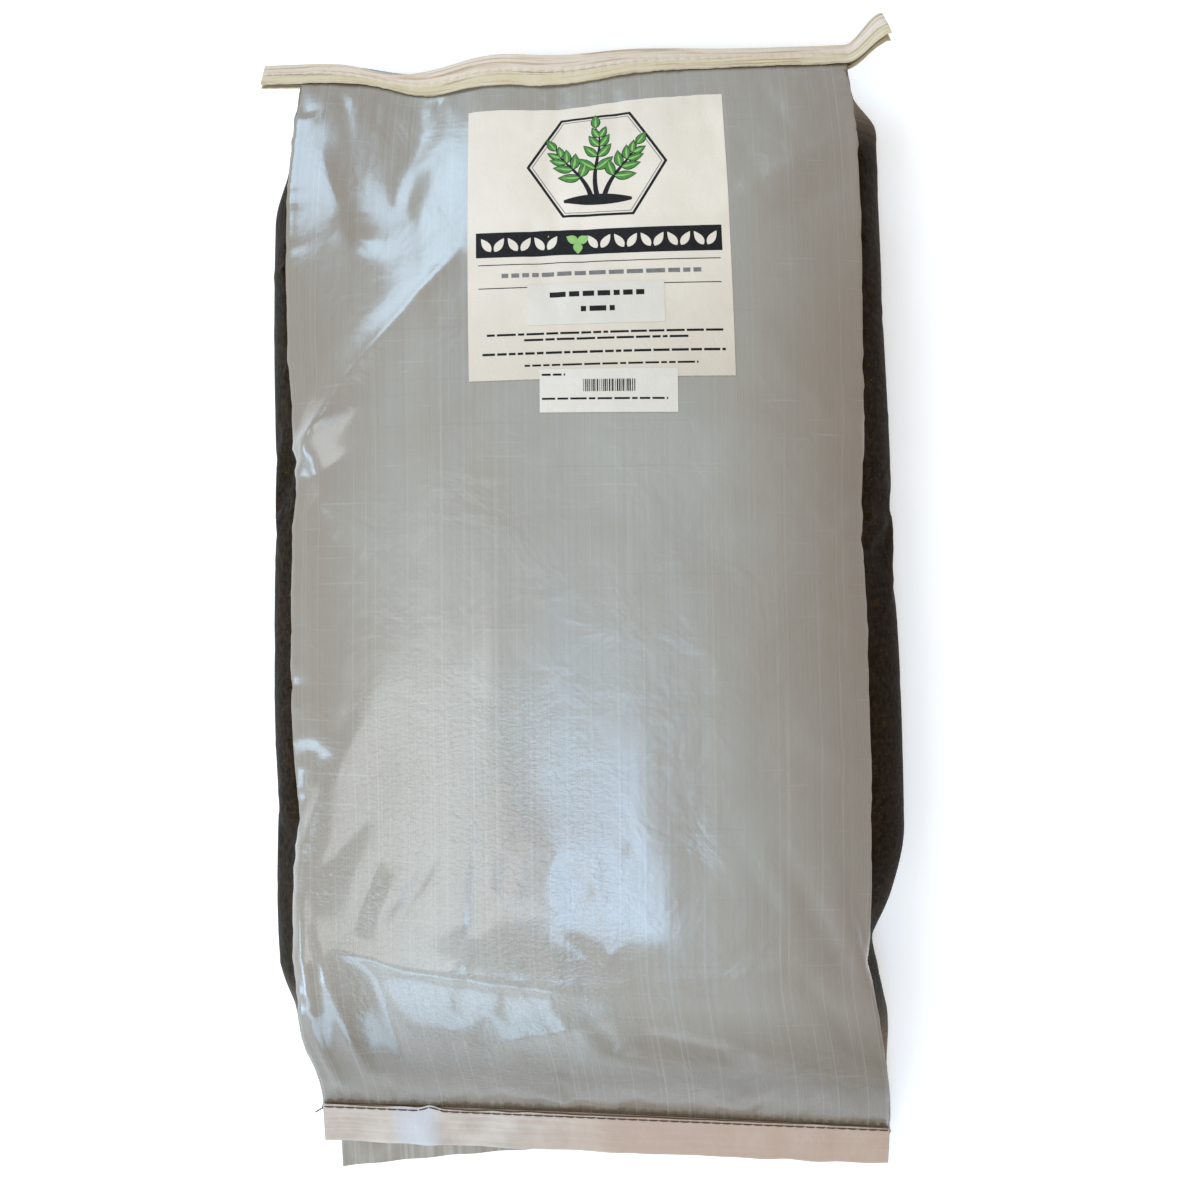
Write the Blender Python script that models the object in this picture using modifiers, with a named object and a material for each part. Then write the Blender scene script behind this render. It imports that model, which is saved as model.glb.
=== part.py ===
"""A full compost bag, lying on its back with its front panel up.

A flat tube of woven film with a pleated gusset down each side is filled with compost. Its bottom
end is folded up to the front and sewn, and its mouth is closed by a crepe paper tape, folded over
it and sewn through. Metres, +Z up, mouth towards +Y, +X to the reader's right. The origin is on
the floor, under the middle of the whole bag.
"""

from typing import NamedTuple

import bmesh
import bpy
import numpy as np

# Filled sack
PANEL_WIDTH = 0.381
FILLED_LENGTH = 0.714
UPPER_DEPTH = 0.127
LOWER_DEPTH = 0.136
EDGE_DEPTH = 0.094
BACK_CREASE_HEIGHT = 0.010
CROWN_POWER = 2.4
CROWN_DRAW_IN = 0.0008
HEM_SPREAD = 0.0045
MOUTH_GATHER = 0.0030
END_WIDTH_REACH = 0.100
SWAY = 0.0155
SWAY_REACH = 0.130

# How far from each sewn end the film takes to reach its full height
MOUTH_SLOPE_REACH = 0.260
HEM_SLOPE_REACH = 0.165
MOUTH_EDGE_REACH = 0.150
HEM_EDGE_REACH = 0.120
MOUTH_BACK_REACH = 0.110
HEM_BACK_REACH = 0.070
BACK_FLAT_SHARE = 0.86

# Gussets
LEFT_LOWER_BULGE = 0.0170
LEFT_UPPER_BULGE = 0.0140
RIGHT_LOWER_BULGE = 0.0285
RIGHT_UPPER_BULGE = 0.0180
RIGHT_HEM_BULGE = 0.0115
BULGE_CHANGE_FROM_HEM = 0.300
BULGE_CHANGE_REACH = 0.360
GUSSET_ROUNDNESS = 0.85
GUSSET_TUCK = 0.028
LEFT_MOUTH_TUCK_REACH = 0.100
RIGHT_MOUTH_TUCK_REACH = 0.045
LEFT_HEM_TUCK_REACH = 0.108
RIGHT_HEM_TUCK_REACH = 0.088
PINCH_FROM_HEM = 0.135
PINCH_DEPTH = 0.0040
PINCH_WIDTH = 0.014
PINCH_RISE = 0.085

# Mouth
LIP_THICKNESS = 0.0024
MOUTH_LIP = 0.0255
MOUTH_HEIGHT = 0.055
MOUTH_TILT = 0.027
MOUTH_DIP = 0.0125
MOUTH_DIP_X = -0.120
MOUTH_DIP_WIDTH = 0.040
MOUTH_SAG = 0.0080
MOUTH_SAG_X = -0.030
MOUTH_SAG_WIDTH = 0.045
MOUTH_DIP_REACH = 0.100
MOUTH_PITCH = np.radians(43.0)
MOUTH_FLATTENING = np.radians(25.0)
FLATTENING_X = -0.050
FLATTENING_WIDTH = 0.085

# Hem
HEM_STRIP = 0.0280
HEM_PLY = 0.0016
HEM_STEP = 0.0003
HEM_HEIGHT = 0.0205
HEM_TILT = -0.0516
HEM_PITCH = np.radians(18.0)
HEM_ROUNDING = 0.0012
BACK_PLY = 0.0010
BACK_PLY_DROP = 0.022
BACK_PLY_RUN = 0.152
BACK_PLY_INSET = 0.011
BACK_PLY_ROOT = 0.006
BACK_PLY_LIFT = 0.0004
BACK_PLY_TAPER = 1.2

# Tape over the mouth
TAPE_THICKNESS = 0.0008
TAPE_EDGE = 0.0012
TAPE_LEFT_OVERHANG = 0.0275
TAIL_LENGTH = 0.027
TAIL_SWING = 0.0155
TAIL_LIFT = 0.014
TAIL_SLANT = 0.16
TAIL_TWIST = np.radians(6.0)

# Thread
THREAD_RADIUS = 0.0005
MOUTH_STITCH_DROP = 0.0125
HEM_STITCH_DROP = 0.0022
HEM_THREAD_TAIL = 0.006
HEM_THREAD_DROP = 0.003
HEM_THREAD_SAG = 0.002

# Paper
PAPER_THICKNESS = 0.0003
LABEL_WIDTH = 0.172
LABEL_LENGTH = 0.205
LABEL_DROP = 0.0205
LABEL_ASIDE = 0.0160
LABEL_TURN = np.radians(0.9)
STICKER_WIDTH = 0.0889
STICKER_LENGTH = 0.0286
NAME_STICKER_DROP = 0.140
NAME_STICKER_ASIDE = -0.003
CODE_STICKER_OVERLAP = 0.0060
CODE_STICKER_ASIDE = 0.0055
STICKER_RAMP = 0.004

# Clearances between pieces that touch
GAP = 0.0003
PAPER_GAP = 0.0005
THREAD_GAP = 0.0005

# Mesh fineness
COLUMNS = 31
GUSSET_POINTS = 7
STATIONS = 50
TAIL_STATIONS = 13
OVERHANG_STATIONS = 5
PLY_STATIONS = 9
HEM_TURNS = 4
ARC_SAMPLES = 400
LABEL_GRID = (14, 18)
NAME_STICKER_GRID = (6, 3)
CODE_STICKER_GRID = (6, 12)
SHARP_ANGLE = np.radians(35.0)


class Fold(NamedTuple):
    """A straight crease in the front panel: across from its middle, up from the hem."""

    start: tuple
    end: tuple
    height: float
    width: float


# Ridges stand up and dents go down
FOLDS = (
    Fold((-0.186, 0.470), (-0.118, 0.556), 0.0050, 0.009),
    Fold((-0.188, 0.458), (-0.135, 0.486), 0.0040, 0.009),
    Fold((-0.182, 0.436), (-0.142, 0.440), -0.0035, 0.010),
    Fold((-0.162, 0.640), (-0.150, 0.575), 0.0045, 0.011),
    Fold((-0.130, 0.610), (-0.122, 0.530), -0.0040, 0.013),
    Fold((-0.150, 0.122), (-0.090, 0.108), 0.0060, 0.010),
    Fold((-0.075, 0.102), (-0.010, 0.094), 0.0050, 0.010),
    Fold((0.020, 0.104), (0.175, 0.118), 0.0030, 0.011),
    Fold((-0.112, 0.190), (-0.108, 0.135), -0.0055, 0.012),
    Fold((-0.082, 0.178), (-0.070, 0.128), 0.0045, 0.010),
    Fold((-0.160, 0.140), (-0.150, 0.060), 0.0050, 0.011),
    Fold((-0.042, 0.275), (-0.028, 0.120), -0.0040, 0.014),
    Fold((0.012, 0.270), (0.016, 0.130), 0.0035, 0.020),
    Fold((0.165, 0.640), (0.110, 0.590), 0.0040, 0.011),
    Fold((0.176, 0.470), (0.150, 0.505), 0.0035, 0.010),
    Fold((0.172, 0.225), (0.140, 0.262), 0.0035, 0.011),
    Fold((0.020, 0.052), (0.060, 0.030), 0.0035, 0.010),
)


class Swell(NamedTuple):
    """A place where a side crease swings out of line: 1 is the right side and -1 the left."""

    side: int
    from_hem: float
    reach: float
    out: float


EDGE_SWELLS = (
    Swell(-1, 0.550, 0.100, 0.0015),
    Swell(-1, 0.430, 0.060, -0.0018),
    Swell(-1, 0.200, 0.050, -0.0030),
    Swell(-1, 0.115, 0.035, -0.0024),
    Swell(-1, 0.055, 0.022, 0.0040),
    Swell(1, 0.400, 0.060, -0.0020),
    Swell(1, 0.240, 0.080, 0.0012),
    Swell(1, 0.118, 0.030, -0.0022),
)


def smooth(share):
    """Runs from 0 to 1 with level ends."""
    held = np.clip(share, 0.0, 1.0)
    return held * held * (3.0 - 2.0 * held)


def shortfall(distance, reach):
    """Runs from 1 at an end to 0 at its reach, as a parabola that ends level."""
    return (1.0 - np.clip(distance / reach, 0.0, 1.0)) ** 2


def centre_line(along):
    """The sack's middle drifts to the left as it rises from the hem."""
    return -SWAY * smooth(along * FILLED_LENGTH / SWAY_REACH)


def half_width(along):
    """Half of the front panel's chord.

    The crown draws it in a little, the hem is spread flat, and the mouth is gathered by its seam.
    """
    from_hem = along * FILLED_LENGTH
    from_mouth = (1.0 - along) * FILLED_LENGTH
    fullness = 1.0 - shortfall(from_hem, HEM_SLOPE_REACH) - shortfall(from_mouth, MOUTH_SLOPE_REACH)
    spread = HEM_SPREAD * shortfall(from_hem, END_WIDTH_REACH)
    gathered = MOUTH_GATHER * shortfall(from_mouth, END_WIDTH_REACH)
    return PANEL_WIDTH / 2 - CROWN_DRAW_IN * fullness + spread - gathered


def side_swell(across, from_hem):
    """How far the side creases swing out of line, fading to nothing at the panel's middle."""
    out = 0.0 * across
    for swell in EDGE_SWELLS:
        share = np.clip(swell.side * across, 0.0, 1.0) ** 2
        bell = np.exp(-(((from_hem - swell.from_hem) / swell.reach) ** 2))
        out = out + swell.side * swell.out * share * bell
    return out


def mouth_line(x):
    """The mouth's seam if it were straight."""
    return FILLED_LENGTH / 2 + MOUTH_TILT * x


def mouth_dip(x):
    """How far the seam hangs below that line: a dip and a shallower sag."""
    dip = MOUTH_DIP * np.exp(-(((x - MOUTH_DIP_X) / MOUTH_DIP_WIDTH) ** 2))
    sag = MOUTH_SAG * np.exp(-(((x - MOUTH_SAG_X) / MOUTH_SAG_WIDTH) ** 2))
    return dip + sag


def mouth_root(x):
    """Where the mouth's flat lip starts."""
    return mouth_line(x) - mouth_dip(x)


def hem_root(x):
    """Where the hem's flat lip starts: a tilted line."""
    return -FILLED_LENGTH / 2 + HEM_TILT * x


def panel_place(across, along):
    """Where a point of either panel lies, and how far it is from both sewn ends.

    The mouth's dip fades away down the panel.
    """
    x = centre_line(along) + half_width(along) * across + side_swell(across, along * FILLED_LENGTH)
    low = hem_root(x)
    high = mouth_root(x)
    faded = shortfall((1.0 - along) * FILLED_LENGTH, MOUTH_DIP_REACH)
    y = low + (mouth_line(x) - low) * along - mouth_dip(x) * faded
    return x, y, y - low, high - y


def fold_height(across, from_hem):
    """All folds at a place: each is a bell across its line and fades past its ends."""
    height = 0.0 * across
    for fold in FOLDS:
        start = np.array(fold.start)
        run = np.array(fold.end) - start
        off_x = across - start[0]
        off_y = from_hem - start[1]
        share = np.clip((off_x * run[0] + off_y * run[1]) / (run @ run), 0.0, 1.0)
        squared = (off_x - share * run[0]) ** 2 + (off_y - share * run[1]) ** 2
        height = height + fold.height * np.exp(-squared / fold.width**2)
    return height


def front_point(across, along):
    """The front panel: across runs from -1 to 1, along from 0 at the hem to 1 at the mouth."""
    x, y, from_hem, from_mouth = panel_place(across, along)
    depth = LOWER_DEPTH + (UPPER_DEPTH - LOWER_DEPTH) * smooth(along)
    crown = depth - (depth - MOUTH_HEIGHT) * shortfall(from_mouth, MOUTH_SLOPE_REACH)
    crown = crown - (depth - HEM_HEIGHT) * shortfall(from_hem, HEM_SLOPE_REACH)
    edge = EDGE_DEPTH - (EDGE_DEPTH - MOUTH_HEIGHT) * shortfall(from_mouth, MOUTH_EDGE_REACH)
    edge = edge - (EDGE_DEPTH - HEM_HEIGHT) * shortfall(from_hem, HEM_EDGE_REACH)
    z = edge + (crown - edge) * (1.0 - np.abs(across) ** CROWN_POWER)
    z = z + fold_height(x - centre_line(along), from_hem) + LIP_THICKNESS / 2
    return np.stack([x, y, z], axis=-1)


def back_point(across, along):
    """The back panel: flat on the floor, rising to both sewn ends and to its side creases."""
    x, y, from_hem, from_mouth = panel_place(across, along)
    near_mouth = shortfall(from_mouth, MOUTH_BACK_REACH)
    near_hem = shortfall(from_hem, HEM_BACK_REACH)
    rise = (MOUTH_HEIGHT - LIP_THICKNESS / 2) * near_mouth
    rise = rise + (HEM_HEIGHT - LIP_THICKNESS / 2) * near_hem
    curl = np.clip((np.abs(across) - BACK_FLAT_SHARE) / (1.0 - BACK_FLAT_SHARE), 0.0, 1.0)
    z = rise + BACK_CREASE_HEIGHT * curl**2 * (1.0 - near_mouth - near_hem)
    return np.stack([x, y, z], axis=-1)


def gusset_points(front_edge, back_edge, along, side):
    """The gusset between its two creases: it bulges out, and is tucked in near the sewn ends."""
    upper = RIGHT_UPPER_BULGE if side > 0 else LEFT_UPPER_BULGE
    lower = RIGHT_LOWER_BULGE if side > 0 else LEFT_LOWER_BULGE
    mouth_reach = RIGHT_MOUTH_TUCK_REACH if side > 0 else LEFT_MOUTH_TUCK_REACH
    hem_reach = RIGHT_HEM_TUCK_REACH if side > 0 else LEFT_HEM_TUCK_REACH
    from_hem = along * FILLED_LENGTH
    from_mouth = (1.0 - along) * FILLED_LENGTH
    opened = smooth(from_mouth / mouth_reach) * smooth(from_hem / hem_reach)
    bulge = lower + (upper - lower) * smooth((from_hem - BULGE_CHANGE_FROM_HEM) / BULGE_CHANGE_REACH)
    if side > 0:
        above_pinch = smooth((from_hem - PINCH_FROM_HEM + PINCH_WIDTH) / PINCH_RISE)
        pinch = np.exp(-(((from_hem - PINCH_FROM_HEM) / PINCH_WIDTH) ** 2))
        bulge = RIGHT_HEM_BULGE + (bulge - RIGHT_HEM_BULGE) * above_pinch - PINCH_DEPTH * pinch
    down = np.linspace(0.0, 1.0, GUSSET_POINTS + 2)[1:-1]
    points = front_edge + (back_edge - front_edge) * down[:, None]
    pleat = GUSSET_TUCK * (1.0 - np.abs(2.0 * down - 1.0))
    out = bulge * opened * np.sin(np.pi * down) ** GUSSET_ROUNDNESS - pleat * (1.0 - opened)
    points[:, 0] = points[:, 0] + side * out
    return points


def mouth_corner(side):
    """The end of the mouth on one side."""
    return centre_line(1.0) + side * half_width(1.0)


def mouth_lip(x, drop, proud):
    """A point by the mouth's lip: drop from its root to its edge, proud of its middle plane.

    Past the right corner the same frame swings, lifts, slants and turns a little, which makes
    the tape's loose tail.
    """
    pitch = MOUTH_PITCH - MOUTH_FLATTENING * np.exp(-(((x - FLATTENING_X) / FLATTENING_WIDTH) ** 2))
    tail = smooth((x - mouth_corner(1)) / TAIL_LENGTH)
    turned = pitch - TAIL_TWIST * tail
    y = mouth_root(x) + MOUTH_STITCH_DROP * np.cos(pitch) + TAIL_SWING * tail
    z = MOUTH_HEIGHT - MOUTH_STITCH_DROP * np.sin(pitch) + TAIL_LIFT * tail
    past = drop - MOUTH_STITCH_DROP
    y = y + past * np.cos(turned) + proud * np.sin(turned)
    z = z - past * np.sin(turned) + proud * np.cos(turned)
    return np.stack(np.broadcast_arrays(x - TAIL_SLANT * tail * past, y, z), axis=-1)


def hem_lip(x, drop, proud):
    """A point by the hem's lip: drop from its root to its fold, proud of its middle plane."""
    y = hem_root(x) - drop * np.cos(HEM_PITCH) - proud * np.sin(HEM_PITCH)
    z = HEM_HEIGHT - drop * np.sin(HEM_PITCH) + proud * np.cos(HEM_PITCH)
    return np.stack(np.broadcast_arrays(x, y, z), axis=-1)


def lip_columns(along):
    """Where the sack's columns of points meet a sewn end."""
    return centre_line(along) + half_width(along) * np.linspace(-1.0, 1.0, COLUMNS)


def lip_rows():
    """Rows of points down the mouth's lip, with one on the stitch line."""
    above = (TAPE_EDGE + MOUTH_STITCH_DROP) / 2
    below = (MOUTH_STITCH_DROP + MOUTH_LIP) / 2
    return (above, MOUTH_STITCH_DROP, below, MOUTH_LIP)


def closed_ring(front, back, along=None):
    """One turn round the sack: front, right gusset, back, left gusset."""
    if along is None:
        down = np.linspace(0.0, 1.0, GUSSET_POINTS + 2)[1:-1, None]
        right = front[-1] + (back[-1] - front[-1]) * down
        left = front[0] + (back[0] - front[0]) * down
    else:
        right = gusset_points(front[-1], back[-1], along, 1)
        left = gusset_points(front[0], back[0], along, -1)
    return np.concatenate([front, right, back[::-1], left[::-1]])


def sack_rings():
    """All turns, from the hem's fold to the mouth's edge."""
    half = LIP_THICKNESS / 2
    hem_x = lip_columns(0.0)
    hem = (
        (HEM_STRIP, half + HEM_PLY - HEM_ROUNDING, HEM_ROUNDING - half),
        (HEM_STRIP - HEM_ROUNDING, half + HEM_PLY, -half),
        (HEM_STITCH_DROP, half + HEM_PLY, -half),
        (0.0, half + HEM_PLY, -half),
        (-HEM_STEP, half, -half),
    )
    rings = [closed_ring(hem_lip(hem_x, q, top), hem_lip(hem_x, q, under)) for q, top, under in hem]
    across = np.linspace(-1.0, 1.0, COLUMNS)
    for along in np.linspace(0.0, 1.0, STATIONS + 2)[1:-1]:
        rings.append(closed_ring(front_point(across, along), back_point(across, along), along))
    mouth_x = lip_columns(1.0)
    for drop in (0.0, *lip_rows()):
        front = mouth_lip(mouth_x, drop, half)
        rings.append(closed_ring(front, mouth_lip(mouth_x, drop, -half)))
    return np.array(rings)


def skin_faces(turns, around):
    """Quads between each turn and the next."""
    turn = np.arange(turns - 1)[:, None] * around
    here = np.arange(around)[None, :]
    there = (here + 1) % around
    quads = np.stack([turn + here, turn + there, turn + around + there, turn + around + here], -1)
    return quads.reshape(-1, 4)


def lip_cap(first):
    """Closes a flat end: each front column joins the back column behind it."""
    front = [first + i for i in range(COLUMNS)]
    right = [first + COLUMNS + i for i in range(GUSSET_POINTS)]
    back = [first + 2 * COLUMNS + GUSSET_POINTS - 1 - i for i in range(COLUMNS)]
    left = [first + 2 * COLUMNS + 2 * GUSSET_POINTS - 1 - i for i in range(GUSSET_POINTS)]
    faces = [[front[i], front[i + 1], back[i + 1], back[i]] for i in range(1, COLUMNS - 2)]
    faces.append([front[0], front[1], back[1], back[0], *left[::-1]])
    faces.append([front[-2], front[-1], *right, back[-1], back[-2]])
    return faces


def finish_material(name, colour, roughness):
    """A plain finish for one piece."""
    finish = bpy.data.materials.new(name)
    finish.use_nodes = True
    shader = finish.node_tree.nodes["Principled BSDF"]
    shader.inputs["Base Color"].default_value = (*colour, 1.0)
    shader.inputs["Roughness"].default_value = roughness
    shader.inputs["Metallic"].default_value = 0.0
    finish.diffuse_color = (*colour, 1.0)
    return finish


def new_piece(name, data, collection, whole):
    """An object of the bag, under its empty."""
    piece = bpy.data.objects.new(name, data)
    collection.objects.link(piece)
    piece.parent = whole
    return piece


def mesh_of(name, points, faces):
    """A closed mesh with its faces pointing out."""
    mesh = bpy.data.meshes.new(name)
    mesh.from_pydata(np.reshape(points, (-1, 3)).tolist(), [], faces)
    shell = bmesh.new()
    shell.from_mesh(mesh)
    bmesh.ops.recalc_face_normals(shell, faces=shell.faces)
    shell.to_mesh(mesh)
    shell.free()
    mesh.shade_smooth()
    mesh.set_sharp_from_angle(angle=SHARP_ANGLE)
    return mesh


def make_back_ply(collection, whole):
    """The tail of the back ply that hangs out below the fold, at the left."""
    x = hem_lip(lip_columns(0.0)[0], 0.0, 0.0)[0] + BACK_PLY_INSET
    share = np.linspace(0.0, 1.0, PLY_STATIONS)
    x = x + BACK_PLY_RUN * share
    drop = HEM_STRIP + BACK_PLY_DROP * (1.0 - share) ** BACK_PLY_TAPER
    under = BACK_PLY_LIFT - LIP_THICKNESS / 2
    over = under + BACK_PLY
    start = np.full(PLY_STATIONS, HEM_STRIP - BACK_PLY_ROOT)
    corners = ((start, over), (drop, over), (drop, under), (start, under))
    rings = np.stack([hem_lip(x, along, proud) for along, proud in corners], axis=1)
    faces = skin_faces(PLY_STATIONS, len(corners)).tolist()
    last = (PLY_STATIONS - 1) * len(corners)
    faces += [[0, 1, 2, 3], [last + i for i in range(len(corners))]]
    ply = new_piece("back_ply_shape", mesh_of("back_ply_shape", rings, faces), collection, whole)
    ply.hide_render = True
    ply.display_type = "WIRE"
    return ply


def make_sack(collection, shapes, whole):
    """The filled sack: one loft with three films, and the back ply's tail joined to it."""
    rings = sack_rings()
    turns, around = rings.shape[:2]
    faces = skin_faces(turns, around).tolist() + lip_cap(0) + lip_cap((turns - 1) * around)
    mesh = mesh_of("sack", rings, faces)
    mesh.materials.append(finish_material("silver_film", (0.36, 0.34, 0.31), 0.35))
    mesh.materials.append(finish_material("clear_film", (0.03, 0.02, 0.015), 0.40))
    mesh.materials.append(finish_material("pale_film", (0.60, 0.56, 0.50), 0.45))
    place = np.tile(np.arange(around), turns - 1)
    turn = np.repeat(np.arange(turns - 1), around)
    film = np.where(place < COLUMNS - 1, 0, 1)
    film = np.where(turn < HEM_TURNS, 2, film)
    slots = np.concatenate([film, np.full(len(faces) - len(film), 2)])
    mesh.polygons.foreach_set("material_index", slots.astype(np.int32))
    sack = new_piece("sack", mesh, collection, whole)
    join = sack.modifiers.new("back ply", "BOOLEAN")
    join.operation = "UNION"
    join.solver = "EXACT"
    join.object = make_back_ply(shapes, whole)
    return sack


def tape_section():
    """The folded tape, as drop and proud: outer skin, bend, then back along the inner skin."""
    inner = LIP_THICKNESS / 2 + GAP
    outer = inner + TAPE_THICKNESS
    turn = np.radians([45.0, 0.0, -45.0])
    outside = [(MOUTH_LIP + outer * np.cos(a), outer * np.sin(a)) for a in turn]
    inside = [(MOUTH_LIP + inner * np.cos(a), inner * np.sin(a)) for a in turn[::-1]]
    rows = (TAPE_EDGE, *lip_rows())
    return [
        *((row, outer) for row in rows),
        *outside,
        *((row, -outer) for row in rows[::-1]),
        *((row, -inner) for row in rows),
        *inside,
        *((row, inner) for row in rows[::-1]),
    ]


def tape_columns():
    """Where the tape's sections stand: both overhangs, and the sack's own columns between."""
    left = mouth_corner(-1) - np.linspace(TAPE_LEFT_OVERHANG, 0.0, OVERHANG_STATIONS)[:-1]
    right = mouth_corner(1) + np.linspace(0.0, TAIL_LENGTH, TAIL_STATIONS)[1:]
    return np.concatenate([left, lip_columns(1.0), right])


def make_tape(collection, whole):
    """The crepe paper tape, folded over the mouth, with a loose end on each side."""
    x = tape_columns()
    section = tape_section()
    rings = np.stack([mouth_lip(x, drop, proud) for drop, proud in section], axis=1)
    faces = skin_faces(len(x), len(section)).tolist()
    last = (len(x) - 1) * len(section)
    faces += [list(range(len(section))), [last + i for i in range(len(section))]]
    mesh = mesh_of("closure_tape", rings, faces)
    mesh.materials.append(finish_material("crepe_paper", (0.74, 0.66, 0.52), 0.85))
    return new_piece("closure_tape", mesh, collection, whole)


def make_thread(name, route, finish, collection, whole):
    """A sewing thread along a route of points."""
    curve = bpy.data.curves.new(name, "CURVE")
    curve.dimensions = "3D"
    curve.bevel_depth = THREAD_RADIUS
    curve.bevel_resolution = 1
    curve.use_fill_caps = True
    line = curve.splines.new("POLY")
    line.points.add(len(route) - 1)
    line.points.foreach_set("co", np.c_[route, np.ones(len(route))].ravel())
    curve.materials.append(finish)
    return new_piece(name, curve, collection, whole)


def make_threads(collection, whole):
    """Needle thread in front and looper thread behind, at the mouth and at the hem."""
    pale = finish_material("pale_thread", (0.80, 0.74, 0.62), 0.70)
    dark = finish_material("dark_thread", (0.06, 0.05, 0.045), 0.70)
    x = tape_columns()[1:-1]
    proud = LIP_THICKNESS / 2 + GAP + TAPE_THICKNESS + THREAD_GAP + THREAD_RADIUS
    front = mouth_lip(x, MOUTH_STITCH_DROP, proud)
    back = mouth_lip(x, MOUTH_STITCH_DROP, -proud)
    make_thread("mouth_needle_thread", front, pale, collection, whole)
    make_thread("mouth_looper_thread", back, pale, collection, whole)
    x = lip_columns(0.0)
    over = LIP_THICKNESS / 2 + THREAD_GAP + THREAD_RADIUS
    front = hem_lip(x, HEM_STITCH_DROP, over + HEM_PLY)
    tail = front[0] - np.array([[HEM_THREAD_TAIL, HEM_THREAD_DROP, HEM_THREAD_SAG]])
    front = np.concatenate([tail, front])
    make_thread("hem_needle_thread", front, dark, collection, whole)
    back = hem_lip(x, HEM_STITCH_DROP, -over)
    make_thread("hem_looper_thread", back, dark, collection, whole)


def along_at(drop):
    """The share along the panel at a distance from the mouth, measured over its crown."""
    share = np.linspace(1.0, 0.0, ARC_SAMPLES)
    line = front_point(np.zeros(ARC_SAMPLES), share)
    steps = np.linalg.norm(np.diff(line, axis=0), axis=1)
    return np.interp(drop, np.concatenate([[0.0], np.cumsum(steps)]), share)


def on_panel(aside, drop, proud):
    """A place on the front panel: aside from its middle, down from the mouth, proud of the film."""
    along = along_at(drop)
    across = aside / half_width(along)
    nudge = 1e-4
    here = front_point(across, along)
    to_right = front_point(across + nudge, along) - here
    to_mouth = front_point(across, along + nudge) - here
    normal = np.cross(to_right, to_mouth)
    normal = normal / np.linalg.norm(normal, axis=-1, keepdims=True)
    return here + normal * np.asarray(proud)[..., None]


def turned_with_label(aside, drop):
    """Turns a place on the panel about the label's middle, by the label's own slant."""
    middle = LABEL_DROP + LABEL_LENGTH / 2
    off_x = aside - LABEL_ASIDE
    off_y = drop - middle
    turned_x = LABEL_ASIDE + off_x * np.cos(LABEL_TURN) + off_y * np.sin(LABEL_TURN)
    return turned_x, middle + off_y * np.cos(LABEL_TURN) - off_x * np.sin(LABEL_TURN)


def as_placed(aside, drop):
    """Leaves a place on the panel as it is."""
    return aside, drop


def make_paper(name, size, aside, drop, grid, turn, proud, finish, collection, whole):
    """A paper sheet stuck on the front panel: a grid bent to the film, then given its thickness."""
    width, length = size
    columns, rows = grid
    sheet = bmesh.new()
    bmesh.ops.create_grid(sheet, x_segments=columns, y_segments=rows, size=0.5)
    flat = np.array([vert.co for vert in sheet.verts])
    place_aside, place_down = turn(aside + width * flat[:, 0], drop + length * (0.5 - flat[:, 1]))
    bent = on_panel(place_aside, place_down, proud(place_down))
    for vert, point in zip(sheet.verts, bent):
        vert.co = point
    mesh = bpy.data.meshes.new(name)
    sheet.to_mesh(mesh)
    sheet.free()
    mesh.shade_smooth()
    mesh.materials.append(finish)
    paper = new_piece(name, mesh, collection, whole)
    wall = paper.modifiers.new("thickness", "SOLIDIFY")
    wall.thickness = PAPER_THICKNESS
    wall.offset = 1.0
    return paper


def make_papers(collection, whole):
    """The label, the name sticker on it, and the code sticker over its lower edge."""
    white = finish_material("label_paper", (0.78, 0.73, 0.66), 0.75)
    grey = finish_material("sticker_paper", (0.68, 0.65, 0.61), 0.70)
    size = (LABEL_WIDTH, LABEL_LENGTH)
    on_label = 2 * PAPER_GAP + PAPER_THICKNESS
    label_end = LABEL_DROP + LABEL_LENGTH

    def on_film(down):
        return np.full(len(down), PAPER_GAP)

    def on_paper(down):
        past = smooth((down - label_end - STICKER_RAMP / 2) / STICKER_RAMP)
        return on_label + (PAPER_GAP - on_label) * past

    aside = LABEL_ASIDE
    drop = LABEL_DROP
    grid = LABEL_GRID
    turn = turned_with_label
    make_paper("label", size, aside, drop, grid, turn, on_film, white, collection, whole)
    size = (STICKER_WIDTH, STICKER_LENGTH)
    aside = LABEL_ASIDE + NAME_STICKER_ASIDE
    drop = LABEL_DROP + NAME_STICKER_DROP
    grid = NAME_STICKER_GRID
    make_paper("name_sticker", size, aside, drop, grid, turn, on_paper, grey, collection, whole)
    aside = LABEL_ASIDE + CODE_STICKER_ASIDE
    drop = label_end - CODE_STICKER_OVERLAP
    grid = CODE_STICKER_GRID
    turn = as_placed
    make_paper("code_sticker", size, aside, drop, grid, turn, on_paper, grey, collection, whole)


def stand_on_origin(whole, collection):
    """Moves the bag so that the middle of its box is over the origin and its back on the floor."""
    bpy.context.view_layer.update()
    depsgraph = bpy.context.evaluated_depsgraph_get()
    corners = []
    for piece in collection.objects:
        if piece.type == "EMPTY":
            continue
        shape = piece.evaluated_get(depsgraph)
        mesh = shape.to_mesh()
        spots = np.empty(len(mesh.vertices) * 3, dtype=np.float32)
        mesh.vertices.foreach_get("co", spots)
        spots = spots.reshape(-1, 3)
        corners += [spots.min(axis=0), spots.max(axis=0)]
        shape.to_mesh_clear()
    low = np.min(corners, axis=0)
    high = np.max(corners, axis=0)
    whole.location = (-(low[0] + high[0]) / 2, -(low[1] + high[1]) / 2, -low[2])


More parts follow.
